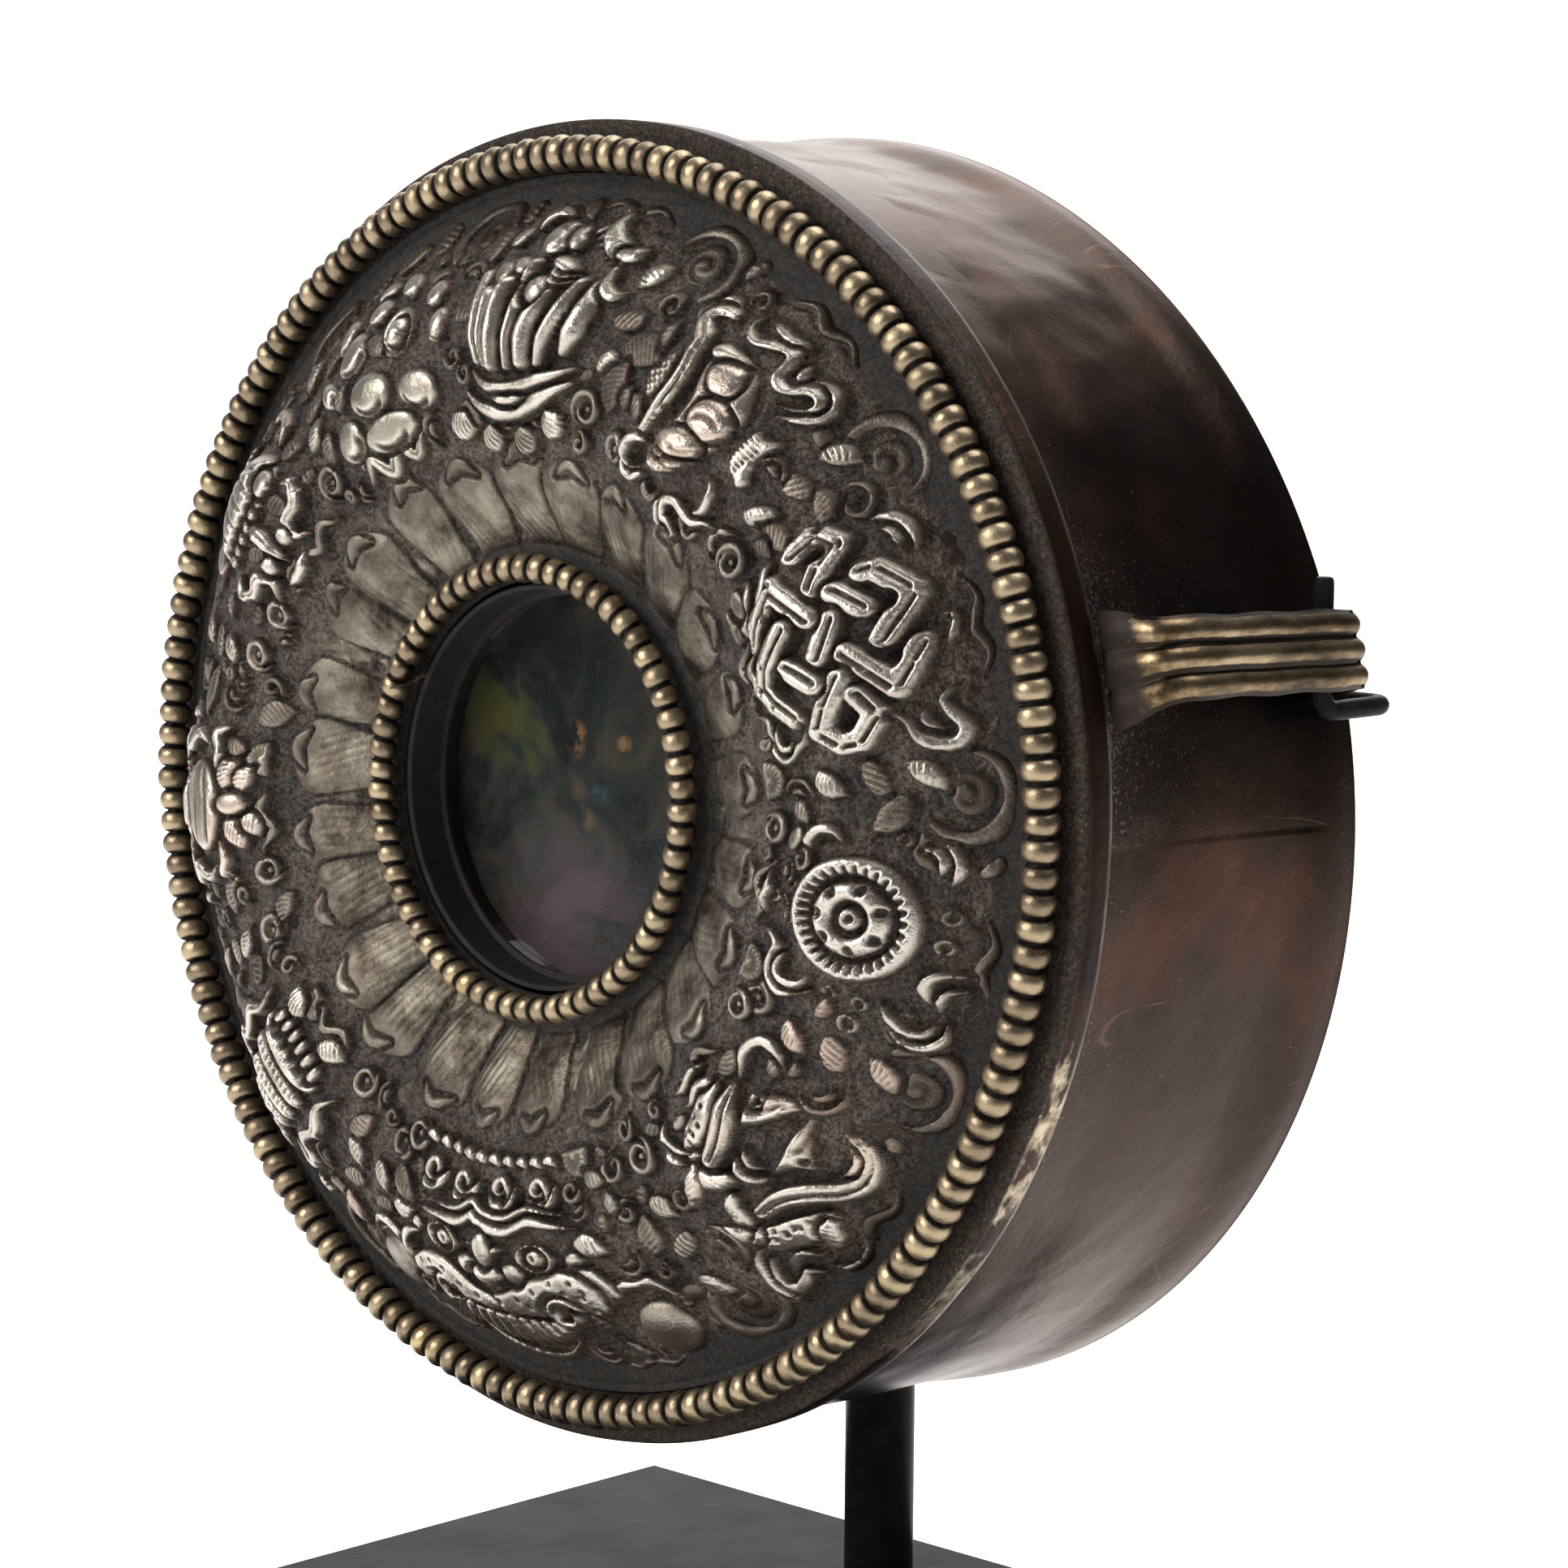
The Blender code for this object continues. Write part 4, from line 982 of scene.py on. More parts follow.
def dome(radius):
    """Height of the smooth plate at this radius."""
    share = np.clip((radius - DOME_START) / (DOME_END - DOME_START), 0, 1)
    slope = PLATE_SILL + (PLATE_FOOT - PLATE_SILL) * share
    return slope + (DOME_HEIGHT - (PLATE_SILL + PLATE_FOOT) / 2) * np.sin(math.pi * share) ** 0.8


def face_plate():
    """The repousse plate, with masks for its polished heights, its dirty hollows, and the bands by the beaded
    wires, which are darkened partly as dirt and partly as painted shade.
    """
    relief = chased_plate()
    step = relief.radius[1] - relief.radius[0]
    around = 57 * relief.theta[1]
    worn = blur(relief.height, 0.11 / step, 0.11 / around)
    proud = worn - blur(worn, 3.2 / step, 3.2 / around)
    crease = blur(worn, 0.5 / step, 0.5 / around) - worn
    rubbed = 0.62 * ease(proud, -0.1, 1.2) + 0.5 * ease(-crease, 0.03, 0.2)
    shine = blur(relief.taken, 0.5 / step, 0.5 / around)
    edge = ease(relief.r, 28.6, 31.5) * (1 - ease(relief.r, 72.9, 74.8))
    front = dome(relief.r) + edge * (worn - 1.5)
    rear_radius = np.linspace(PLATE_OUTER, PLATE_INNER, 14)
    r, t = np.meshgrid(rear_radius, relief.theta, indexing="ij")
    rear = dome(r) - 0.7 - 2.5 * ease(r, 28, 33) * (1 - ease(r, 66, 73.5))
    grid = np.vstack([turn(relief.r, front, relief.t), turn(r, rear, t)])
    spare = np.zeros(r.shape)
    masks = {
        "polish": np.vstack([rubbed * shine * edge, spare]),
        # In the bands next to the beaded wires, hollow is held at 0.8 and pocket is 1. Their dark colour
        # there is partly dirt and partly painted shade of the crevice.
        "hollow": np.vstack([np.maximum(ease(-proud, -0.1, 0.8),
                                        ease(crease, 0.04, 0.26)) * edge + (1 - edge) * 0.8,
                             spare + 1]),
        "slope": np.vstack([1 - ease(relief.r, 33, 47), spare]),
        "pocket": np.vstack([1 - ease(relief.r, 29.2, 32.0) + ease(relief.r, 71.4, 73.6), spare + 1]),
    }
    return skin("repousse_plate", place(grid), close_rows=True, masks=masks, sharp=70)


def beaded_wire(name, ring, radius, height, count, fullness, seed, joint, skew):
    """A ring of beaded wire. joint is the angle of its soldered ends."""
    per_bead, sides = 14, 22
    rng = np.random.default_rng(seed)
    columns = count * per_bead
    around = np.arange(columns) / per_bead
    phi = np.arange(sides) * 2 * math.pi / sides
    p, a = np.meshgrid(phi, around, indexing="ij")
    lean = rng.uniform(-1, 1, count)[(around.astype(int)) % count]
    t = (a + 0.5 + skew * np.sin(p + 0.6) + 0.03 * lean * np.sin(p)) % 1
    swell = np.sqrt(np.clip(1 - np.abs(2 * t - 1) ** fullness, 0, 1))
    bead = np.floor(a + 0.5 + skew * np.sin(p + 0.6)).astype(int) % count
    girth = rng.uniform(0.94, 1.02, count)[bead]
    theta = a * 2 * math.pi / count
    apart = np.abs((theta - joint + math.pi) % (2 * math.pi) - math.pi) * ring
    solder = np.exp(-((apart / (1.9 * radius / 2)) ** 2)) * (0.7 + 0.3 * value_noise(a * 3, p * 2, 1.0, seed))
    reach = radius * girth * np.maximum(0.42 + 0.58 * swell, 0.93 * solder)
    wobble = 0.12 * uneven(theta, seed + 5, 40)
    grid = turn(ring + wobble + reach * np.cos(p), height + reach * np.sin(p), theta)
    masks = {"gap": 1 - ease(swell, 0.45, 0.93), "solder": solder, "tone": rng.uniform(0, 1, count)[bead]}
    return skin(name, place(grid), close_rows=True, masks=masks, sharp=80)


def window_sleeve():
    """The dark tube inside the window, with the small seat that its glass lies against."""
    bore, outside, seat = 24.4, 25.1, 23.6
    rear, seat_rear, seat_front = -8.5, -1.6, -1.0
    flare = 0.35
    profile = [(bore + flare, PLATE_SILL), (outside - 0.1, PLATE_SILL), (outside, PLATE_SILL - 0.2),
               (outside, rear + 0.2), (outside - 0.2, rear), (bore, rear), (bore, seat_rear),
               (seat, seat_rear), (seat, seat_front), (bore, seat_front), (bore, PLATE_SILL - 0.3),
               (bore + flare, PLATE_SILL)]
    return lathe("window_sleeve", profile, 256, 0.12)


def loose_wire_end():
    """The end of the window's beaded wire, sprung a little out of its ring."""
    angle = math.radians(151)
    centres = [(WINDOW_RING - 1.2, 0.075, 0.3), (WINDOW_RING - 2.7, 0.02, -0.1),
               (WINDOW_RING - 3.6, -0.05, -0.9)]
    rings = []
    for ring, offset, drop in centres:
        for share in np.linspace(0.06, 0.94, 9):
            reach = 1.05 * math.sin(math.pi * share) ** 0.45
            phi = np.arange(18) * 2 * math.pi / 18
            along = (share - 0.5) * 1.5
            rings.append(turn(ring + along * -0.75 + reach * np.cos(phi) * 0.55,
                              WINDOW_RING_HEIGHT + 0.5 + drop + reach * np.sin(phi),
                              angle + offset - along * 0.03 + reach * np.cos(phi) * 0.028))
    grid = place(np.array(rings))
    masks = {key: np.full(grid.shape[:2], 0.2) for key in ("gap", "solder", "tone")}
    return skin("window_wire_end", grid, cap=True, masks=masks)


def front_rim():
    """The lid's flange and skirt of thin sheet, uneven where it was beaten over the wall."""
    theta = np.arange(1200) * 2 * math.pi / 1200
    dent = 0.16 * uneven(theta, SEED + 3, 30)
    rear = SKIRT_REAR + 0.35 * uneven(theta, SEED + 4, 34)
    profile = [(70.0, FLANGE, 0, 0), (75.4, FLANGE, 0, 0), (76.5, FLANGE - 0.05, 0, 0),
               (79.2, FLANGE - 0.05, 0, 0),
               (80.2, FLANGE, 0.2, 0), (80.9, FLANGE, 0.5, 0), (81.4, FLANGE - 0.12, 0.8, 0),
               (RIM_RADIUS - 0.1, FLANGE - 0.35, 1, 0), (RIM_RADIUS, FLANGE - 0.8, 1, 0),
               (RIM_RADIUS - 0.12, FLANGE - 1.25, 1, 0), (RIM_RADIUS - 0.02, FLANGE - 1.6, 1, 0),
               (RIM_RADIUS, FLANGE - 2.6, 1, 0.3), (RIM_RADIUS, FLANGE - 3.6, 1, 0.7),
               (RIM_RADIUS - 0.02, FLANGE - 4.3, 1, 0.95), (RIM_RADIUS - 0.15, SKIRT_REAR, 1, 1),
               (RIM_RADIUS - 0.45, SKIRT_REAR, 1, 1), (RIM_RADIUS - SHEET, FLANGE - 4.2, 1, 0.9),
               (RIM_RADIUS - SHEET, FLANGE - 0.9, 1, 0), (80.6, FLANGE - SHEET, 0.3, 0),
               (70.0, FLANGE - SHEET, 0, 0)]
    rows = []
    for radius, height, sway, tail in profile:
        rows.append(turn(radius + sway * dent, height + tail * (rear - SKIRT_REAR), theta))
    grid = np.array(rows)
    height = np.array([[height] * len(theta) for _, height, _, _ in profile])
    worn = np.exp(-(((theta + 0.62 + math.pi) % (2 * math.pi) - math.pi) / 0.42) ** 2)
    masks = {
        "skirt": ease(-height, -FLANGE + 0.2, -FLANGE + 1.0),
        "tail": ease(-height, -SKIRT_REAR - 1.6, -SKIRT_REAR),
        "worn": np.repeat(worn[None, :], len(profile), 0),
    }
    return skin("front_rim_sheet", place(grid), close_rows=True, masks=masks, sharp=75)


# ---------------------------------------------------------------- pieces of the case


def slanted(grid, share):
    """Leans the rear of the case: share is 0 at its front and 1 at its back."""
    grid = grid.copy()
    grid[..., 2] += BACK_SLANT * grid[..., 1] * share
    return grid


def hammer_zone(theta):
    """How strongly the wall was hammered: most along its upper side."""
    return 0.3 + 0.7 * np.exp(-(((theta - 1.2 + math.pi) % (2 * math.pi) - math.pi) / 0.85) ** 2)


def case_wall():
    """The wall with its hammer marks, swelling softly and rising to meet the lip of the back."""
    columns, rows = 1400, 130
    theta = np.arange(columns) * 2 * math.pi / columns
    share = np.linspace(0, 1, rows)
    s, t = np.meshgrid(share, theta, indexing="ij")
    rear = BACK + SHEET + 0.3
    height = WALL_FRONT + s * (rear - WALL_FRONT)
    behind = WALL_FRONT - height
    soft = 0.9 / (WALL_RADIUS * theta[1])
    strikes = blur(hammered(t * WALL_RADIUS, behind, 6.5, 0.5, SEED + 8), soft, soft)
    marks = strikes * hammer_zone(t)
    marks += 0.55 * (value_noise(t * WALL_RADIUS, behind * 0.7, 17, SEED + 9) - 1) * hammer_zone(t)
    marks -= 0.5 * np.exp(-(((behind - 13) / 5) ** 2)) * hammer_zone(t)
    marks *= 1 - ease(s, 0.8, 0.96)
    to_lip = rear + BACK_LIP - SHEET
    marks += (RIM_RADIUS - WALL_RADIUS - 0.04) * ease(-height, -to_lip - 12, -to_lip)
    quiet = ease(s, 0, 0.1)
    dent = 0.12 * uneven(t, SEED + 3, 30) * (1 - s)
    outside = turn(WALL_RADIUS - 0.02 + marks * quiet + np.minimum(dent, 0), height, t)
    s_in, t_in = np.meshgrid(np.linspace(1, 0, 8), theta, indexing="ij")
    inside_wall = turn(np.full(s_in.shape, WALL_RADIUS - 1.3), WALL_FRONT + s_in * (rear - WALL_FRONT), t_in)
    grid = slanted(np.vstack([outside, inside_wall]), np.vstack([s, s_in]))
    by_loop = np.minimum(np.abs(t - LOOP_ANGLE), np.abs(t - math.pi + LOOP_ANGLE))
    dust = 0.8 * np.exp(-((by_loop / 0.24) ** 2)) * np.exp(-((behind / 24) ** 2))
    dust += 0.6 * np.exp(-((behind / 7) ** 2))
    masks = {"dust": np.vstack([np.clip(dust, 0, 1), np.zeros(s_in.shape)])}
    return skin("hammered_wall", place(grid), close_rows=True, masks=masks, sharp=60)


def case_back():
    """The hammered back with its turned lip."""
    columns = 720
    theta = np.arange(columns) * 2 * math.pi / columns
    lip_inner = RIM_RADIUS - SHEET
    radii = np.concatenate([[0.4], np.linspace(3, 79.5, 74), [80.6, 81.2, 81.6, RIM_RADIUS]])
    heights = np.concatenate([np.full(75, BACK), [BACK + 0.02, BACK + 0.1, BACK + 0.3, BACK + 0.7]])
    r, t = np.meshgrid(radii, theta, indexing="ij")
    x, y = r * np.cos(t), r * np.sin(t)
    rng = np.random.default_rng(SEED + 12)
    marks = np.zeros(r.shape)
    for cx, cy, reach, deep in zip(rng.uniform(-82, 82, 900), rng.uniform(-82, 82, 900),
                                   rng.uniform(4, 8, 900),
                                   rng.uniform(0.12, 0.38, 900)):
        marks = np.minimum(marks, -deep * np.clip(1 - ((x - cx) ** 2 + (y - cy) ** 2) / reach**2, 0, 1))
    calm = 1 - ease(r, 76, 80.5)
    outer = turn(r, heights[:, None] - marks * calm, t)
    edge = [(RIM_RADIUS - 0.05, BACK + BACK_LIP * 0.45), (RIM_RADIUS - 0.3, BACK + BACK_LIP - 0.6),
            (lip_inner + 0.15, BACK + BACK_LIP), (lip_inner, BACK + BACK_LIP - 0.2),
            (lip_inner, BACK + SHEET + 0.1),
            (lip_inner - 0.3, BACK + SHEET), (60, BACK + SHEET), (30, BACK + SHEET), (0.4, BACK + SHEET)]
    inner = np.array([turn(np.full(columns, radius), np.full(columns, height), theta) for radius,
                      height in edge])
    grid = np.vstack([outer, inner])
    masks = {"dust": np.zeros(grid.shape[:2])}
    return skin("case_back_sheet", place(slanted(grid, 1.0)), cap=True, masks=masks, sharp=50)


def loop_path():
    """Side view of a strap loop's middle line as (radius, depth behind the bead plane)."""
    foot = WALL_RADIUS + 0.3
    corners = [(foot, LOOP_FRONT), (foot + 2.0, LOOP_FRONT + 0.7), (foot + 4.6, LOOP_FRONT + 1.7),
               (foot + 6.9, LOOP_FRONT + 3.0), (LOOP_RADIUS, LOOP_FRONT + 6.4),
               (LOOP_RADIUS + 0.1, LOOP_FRONT + 16),
               (LOOP_RADIUS, LOOP_REAR - 2.0), (LOOP_RADIUS - 0.9, LOOP_REAR - 0.5),
               (LOOP_RADIUS - 2.6, LOOP_REAR)]
    return np.vstack([smooth(corners, steps=9), [(foot, LOOP_REAR)]])


def strap_loop(name, side):
    """A strap loop with three rounded ribs, its front foot spread on the wall."""
    path = loop_path()
    passed = np.concatenate([[0], np.cumsum(np.hypot(*np.diff(path, axis=0).T))])
    run = np.gradient(path, axis=0)
    run /= np.hypot(*run.T)[:, None]
    across = np.linspace(-1, 1, 41)
    ribs = np.abs(np.cos(across * 1.5 * math.pi)) ** 0.8
    outer = -0.25 + (1.0 - 0.3 * across**2) * ribs * (1 - np.abs(across) ** 14) ** 0.5
    rows, groove, foot_mask = [], [], []
    for (radius, depth), (dr, dd), length in zip(path, run, passed):
        flare = math.exp(-((length / 5.5) ** 2))
        half = LOOP_WIDTH / 2 + 1.9 * flare + 0.12 * math.sin(length * 0.55 + side)
        normal = np.array([dd, -dr])
        section = [(w * half, o * (1 - 0.45 * flare)) for w, o in zip(across, outer)]
        section += [(w * half * 0.97, -0.62) for w in across[::-4]]
        ring = []
        for w, n in section:
            reach = radius + normal[0] * n
            back = depth + normal[1] * n
            ring.append((side * (reach * math.cos(LOOP_ANGLE)) - side * w * math.sin(LOOP_ANGLE),
                         reach * math.sin(LOOP_ANGLE) + w * math.cos(LOOP_ANGLE), -back))
        rows.append(ring)
        groove.append(list(1 - ease(ribs, 0.2, 0.8)) + [1.0] * len(across[::-4]))
        foot_mask.append([flare] * len(section))
    masks = {"groove": np.array(groove), "foot": np.array(foot_mask)}
    return skin(name, place(np.array(rows)), cap=True, masks=masks, sharp=60)


# ---------------------------------------------------------------- pieces of the stand


def hook_wire():
    """The bent wire that carries the box, its ends cut square and eased."""
    low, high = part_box("hook_wire")
    radius = 1.2 * MM
    x, front, back = high.x - radius, low.y + radius, high.y - radius
    bar, top = low.z + radius, high.z
    corners = [(x, front, top), (x, front, bar), (x, back, bar), (-x, back, bar), (-x, front, bar),
               (-x, front, top)]
    bend = 2.5 * MM
    tip = [np.array((0, 0, drop * MM)) for drop in (0.0, 0.12, 0.45, 0.9)]
    path = [corners[0] - drop for drop in tip]
    for before, corner, after in zip(corners, corners[1:], corners[2:]):
        corner = np.array(corner)
        first = (before - corner) / np.linalg.norm(before - corner)
        second = (after - corner) / np.linalg.norm(after - corner)
        for angle in np.linspace(0, math.pi / 2, 9):
            path.append(corner + bend * ((1 - math.sin(angle)) * first + (1 - math.cos(angle)) * second))
    path += [corners[-1] - drop for drop in tip[::-1]]
    return tube("hook_wire_rod", path, radius, 24, 3)


def post():
    """The upright, a round bar with an eased top."""
    low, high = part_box("post")
    centre = (low + high) / 2
    radius = (high.x - low.x) / 2
    ease_top = 0.0006
    profile = [(radius - 0.0002, low.z), (radius, low.z + 0.0003), (radius, (low.z + high.z) / 2),
               (radius, high.z - ease_top), (radius - ease_top * 0.3, high.z - ease_top * 0.3),
               (radius - ease_top, high.z)]
    theta = np.arange(64) * 2 * math.pi / 64
    rows = [np.stack([centre.x + r * np.cos(theta), centre.y + r * np.sin(theta), np.full(64, z)], -1)
            for r, z in profile]
    return skin("post_bar", np.array(rows), cap=True, sharp=35)


# ---------------------------------------------------------------- materials


class Surface:
    """A material being put together round one Principled shader."""

    def __init__(self, name, **values):
        self.material = bpy.data.materials.new(name)
        self.material.use_nodes = True
        self.tree = self.material.node_tree
        self.shader = self.tree.nodes["Principled BSDF"]
        for key, value in values.items():
            self.shader.inputs[key.replace("_", " ")].default_value = value
        self.where = self.node("ShaderNodeTexCoord").outputs["Object"]

    def node(self, kind, inputs=None, **settings):
        made = self.tree.nodes.new(kind)
        for key, value in settings.items():
            setattr(made, key, value)
        for key, value in (inputs or {}).items():
            if isinstance(value, bpy.types.NodeSocket):
                self.tree.links.new(value, made.inputs[key])
            else:
                made.inputs[key].default_value = value
        return made

    def stretched(self, scale):
        return self.node("ShaderNodeMapping", {"Vector": self.where, "Scale": scale}).outputs["Vector"]

    def noise(self, per_metre, detail=4.0, rough=0.55, where=None, distort=0.0):
        inputs = {"Vector": where or self.where, "Scale": per_metre, "Detail": detail, "Roughness": rough,
                  "Distortion": distort}
        return self.node("ShaderNodeTexNoise", inputs).outputs["Fac"]

    def cells(self, per_metre, where=None, feature="F1"):
        inputs = {"Vector": where or self.where, "Scale": per_metre}
        return self.node("ShaderNodeTexVoronoi", inputs, feature=feature).outputs["Distance"]

    def mask(self, name):
        return self.node("ShaderNodeAttribute", attribute_name=name).outputs["Fac"]

    def steps(self, value, *stops):
        """A colour ramp over value; each stop is (position, (r, g, b))."""
        ramp = self.node("ShaderNodeValToRGB", {"Fac": value})
        elements = ramp.color_ramp.elements
        while len(elements) < len(stops):
            elements.new(0.5)
        for element, (position, colour) in zip(elements, stops):
            element.position = position
            element.color = (*colour, 1.0)
        return ramp.outputs["Color"]

    def span(self, value, low, high, start=0.0, end=1.0):
        """Maps low..high to start..end, smooth and clamped."""
        inputs = {"Value": value, "From Min": low, "From Max": high, "To Min": start, "To Max": end}
        return self.node("ShaderNodeMapRange", inputs, interpolation_type="SMOOTHSTEP").outputs["Result"]

    def sum(self, kind, a, b=0.0):
        return self.node("ShaderNodeMath", {0: a, 1: b}, operation=kind).outputs["Value"]

    def blend(self, share, a, b):
        inputs = {}
        for key, value in ((0, share), (6, a), (7, b)):
            inputs[key] = (*value, 1.0) if isinstance(value, tuple) else value
        return self.node("ShaderNodeMix", inputs, data_type="RGBA").outputs[2]

    def set(self, name, value):
        self.tree.links.new(value, self.shader.inputs[name])

    def bump(self, height, distance, strength=1.0):
        """Bump from a height of 0 to 1, distance metres deep. Several calls add up."""
        inputs = {"Height": height, "Distance": distance, "Strength": strength}
        socket = self.shader.inputs["Normal"]
        if socket.is_linked:
            inputs["Normal"] = socket.links[0].from_socket
        self.set("Normal", self.node("ShaderNodeBump", inputs).outputs["Normal"])

    def spot(self, x, y, reach):
        """A soft round spot on the window's card, its place and reach in millimetres."""
        centre = tuple(place([(x, y, CARD_DEPTH)])[0])
        away = self.node("ShaderNodeVectorMath", {0: self.where, 1: centre},
                         operation="DISTANCE").outputs["Value"]
        return self.span(away, 0.3 * reach * MM, reach * MM, 1.0, 0.0)

    def specks(self, per_metre, amount):
        """Small scattered specks of dust or verdigris: 1 on a speck."""
        near = self.span(self.cells(per_metre), 0.16, 0.24, 1.0, 0.0)
        here = self.span(self.noise(per_metre * 0.13, 2), 1 - amount, 1 - amount + 0.06)
        return self.sum("MULTIPLY", near, here)


def silver():
    """Worn silver over a dark tarnished ground, bright on the heights and dusty in the hollows, with painted
    shade next to the beaded wires.
    """
    s = Surface("tarnished_silver", Metallic=1.0)
    polish, hollow, slope, pocket = s.mask("polish"), s.mask("hollow"), s.mask("slope"), s.mask("pocket")
    patch = s.noise(140, 5, 0.6)
    fine = s.noise(1900, 4, 0.75)
    broken = s.sum("ADD", s.sum("MULTIPLY", patch, 0.5), s.sum("MULTIPLY", fine, 0.34))
    wear = s.sum("ADD", broken, s.sum("SUBTRACT", polish, 0.44))
    colour = s.steps(wear, (0.0, (0.050, 0.039, 0.031)), (0.30, (0.120, 0.094, 0.074)),
                     (0.60, (0.27, 0.228, 0.185)),
                     (1.0, (0.54, 0.485, 0.42)))
    green = s.span(s.noise(60, 3), 0.5, 0.68, 0.0, 0.35)
    colour = s.blend(s.sum("MULTIPLY", green, polish), colour, (0.42, 0.45, 0.34))
    rose = s.span(s.noise(45, 2, where=s.stretched((1.3, 1, 0.8))), 0.56, 0.7, 0.0, 0.35)
    colour = s.blend(s.sum("MULTIPLY", rose, wear), colour, (0.52, 0.33, 0.25))
    stain = s.steps(s.noise(190, 5, 0.65), (0.36, (0.045, 0.034, 0.026)), (0.5, (0.155, 0.128, 0.095)),
                    (0.66, (0.31, 0.272, 0.215)))
    on_petals = s.sum("MULTIPLY", slope, s.span(polish, 0.2, 0.8, 0.9, 0.25))
    colour = s.blend(on_petals, colour, stain)
    grime = s.span(s.sum("ADD", hollow, s.sum("MULTIPLY", fine, 0.3)), 0.2, 0.95)
    ground = s.blend(s.span(patch, 0.40, 0.62),
                     s.steps(fine, (0.42, (0.009, 0.007, 0.006)), (0.60, (0.070, 0.056, 0.048))),
                     s.steps(fine, (0.42, (0.024, 0.018, 0.013)), (0.60, (0.140, 0.106, 0.078))))
    colour = s.blend(grime, colour, ground)
    dust = s.specks(2600, 0.45)
    colour = s.blend(s.sum("MULTIPLY", dust, 0.5), colour, (0.30, 0.28, 0.25))
    # Near-black in the pockets next to both beaded wires: partly soot and dust, and partly painted shade of
    # the crevice between plate and wire.
    soot_and_shade = s.steps(fine, (0.4, (0.006, 0.005, 0.004)), (0.7, (0.030, 0.024, 0.020)))
    colour = s.blend(s.sum("MULTIPLY", pocket, 0.85), colour, soot_and_shade)
    s.set("Base Color", colour)
    s.set("Metallic", s.span(grime, 0.1, 1.0, 0.96, 0.35))
    rough = s.span(wear, 0.1, 1.0, 0.50, 0.28)
    s.set("Roughness", s.sum("ADD", rough, s.sum("MULTIPLY", grime, 0.3)))
    s.bump(s.noise(1100, 4, 0.75), 0.00016)
    s.bump(s.noise(430, 3, 0.6), 0.00018)
    return s.material


def beads():
    """Rubbed brass beads, brown in the gaps, with paler solder at the joint."""
    s = Surface("beaded_brass", Metallic=1.0)
    gap, solder, tone = s.mask("gap"), s.mask("solder"), s.mask("tone")
    patch = s.noise(300, 4)
    warm = s.steps(s.sum("ADD", s.sum("MULTIPLY", tone, 0.35), s.sum("MULTIPLY", patch, 0.65)),
                   (0.25, (0.15, 0.110, 0.070)), (0.5, (0.28, 0.215, 0.140)), (0.75, (0.44, 0.345, 0.215)))
    warm = s.blend(s.sum("MULTIPLY", solder, 0.8), warm, (0.66, 0.50, 0.25))
    dark = s.span(s.sum("ADD", gap, s.sum("MULTIPLY", s.noise(1400, 3), 0.35)), 0.35, 0.95)
    s.set("Base Color", s.blend(dark, warm, (0.026, 0.021, 0.018)))
    s.set("Roughness", s.sum("ADD", s.span(patch, 0.3, 0.7, 0.34, 0.48), s.sum("MULTIPLY", dark, 0.3)))
    s.bump(s.noise(2200, 3), 0.00004)
    s.bump(s.cells(1500), 0.00003)
    return s.material


def copper(name, back=False):
    """Nearly black copper with red-brown patches, hairline scratches and dust."""
    s = Surface(name, Metallic=1.0, Specular_Tint=(0.86, 0.78, 0.74, 1.0), Coat_Weight=0.35,
                Coat_Roughness=0.3, Coat_IOR=1.2)
    patch = s.noise(22, 5, 0.62, distort=0.6)
    small = s.noise(120, 4, 0.6)
    mixed = s.sum("ADD", s.sum("MULTIPLY", patch, 0.75), s.sum("MULTIPLY", small, 0.25))
    colour = s.steps(mixed, (0.36, (0.014, 0.010, 0.009)), (0.48, (0.024, 0.014, 0.010)),
                     (0.60, (0.052, 0.022, 0.013)),
                     (0.74, (0.098, 0.043, 0.023)))
    wander = s.sum("ABSOLUTE", s.sum("SUBTRACT", s.noise(34, 2, 0.4, s.stretched((1, 0.5, 1.6))), 0.5))
    hair = s.sum("MULTIPLY", s.span(wander, 0.0, 0.0035, 1.0, 0.0), s.span(s.noise(75, 3), 0.54, 0.62))
    colour = s.blend(s.sum("MULTIPLY", hair, 0.08 if back else 0.3), colour, (0.20, 0.10, 0.06))
    dust = s.mask("dust")
    colour = s.blend(s.sum("MULTIPLY", dust, s.span(s.noise(1300, 4, 0.7), 0.35, 0.7, 0.1, 0.8)), colour,
                     (0.060, 0.052, 0.047))
    grit = s.sum("ADD", s.sum("MULTIPLY", dust, 0.16), s.noise(2100, 3, 0.75))
    colour = s.blend(s.span(grit, 0.68, 0.74, 0.0, 0.8), colour, (0.26, 0.24, 0.21))
    s.set("Base Color", colour)
    s.set("Roughness", s.sum("ADD", s.span(mixed, 0.35, 0.7, 0.26, 0.40), s.sum("MULTIPLY", dust, 0.2)))
    s.bump(s.noise(160, 4, 0.55), 0.00022 if back else 0.00016)
    s.bump(s.noise(1700, 3, 0.6), 0.00003)
    return s.material


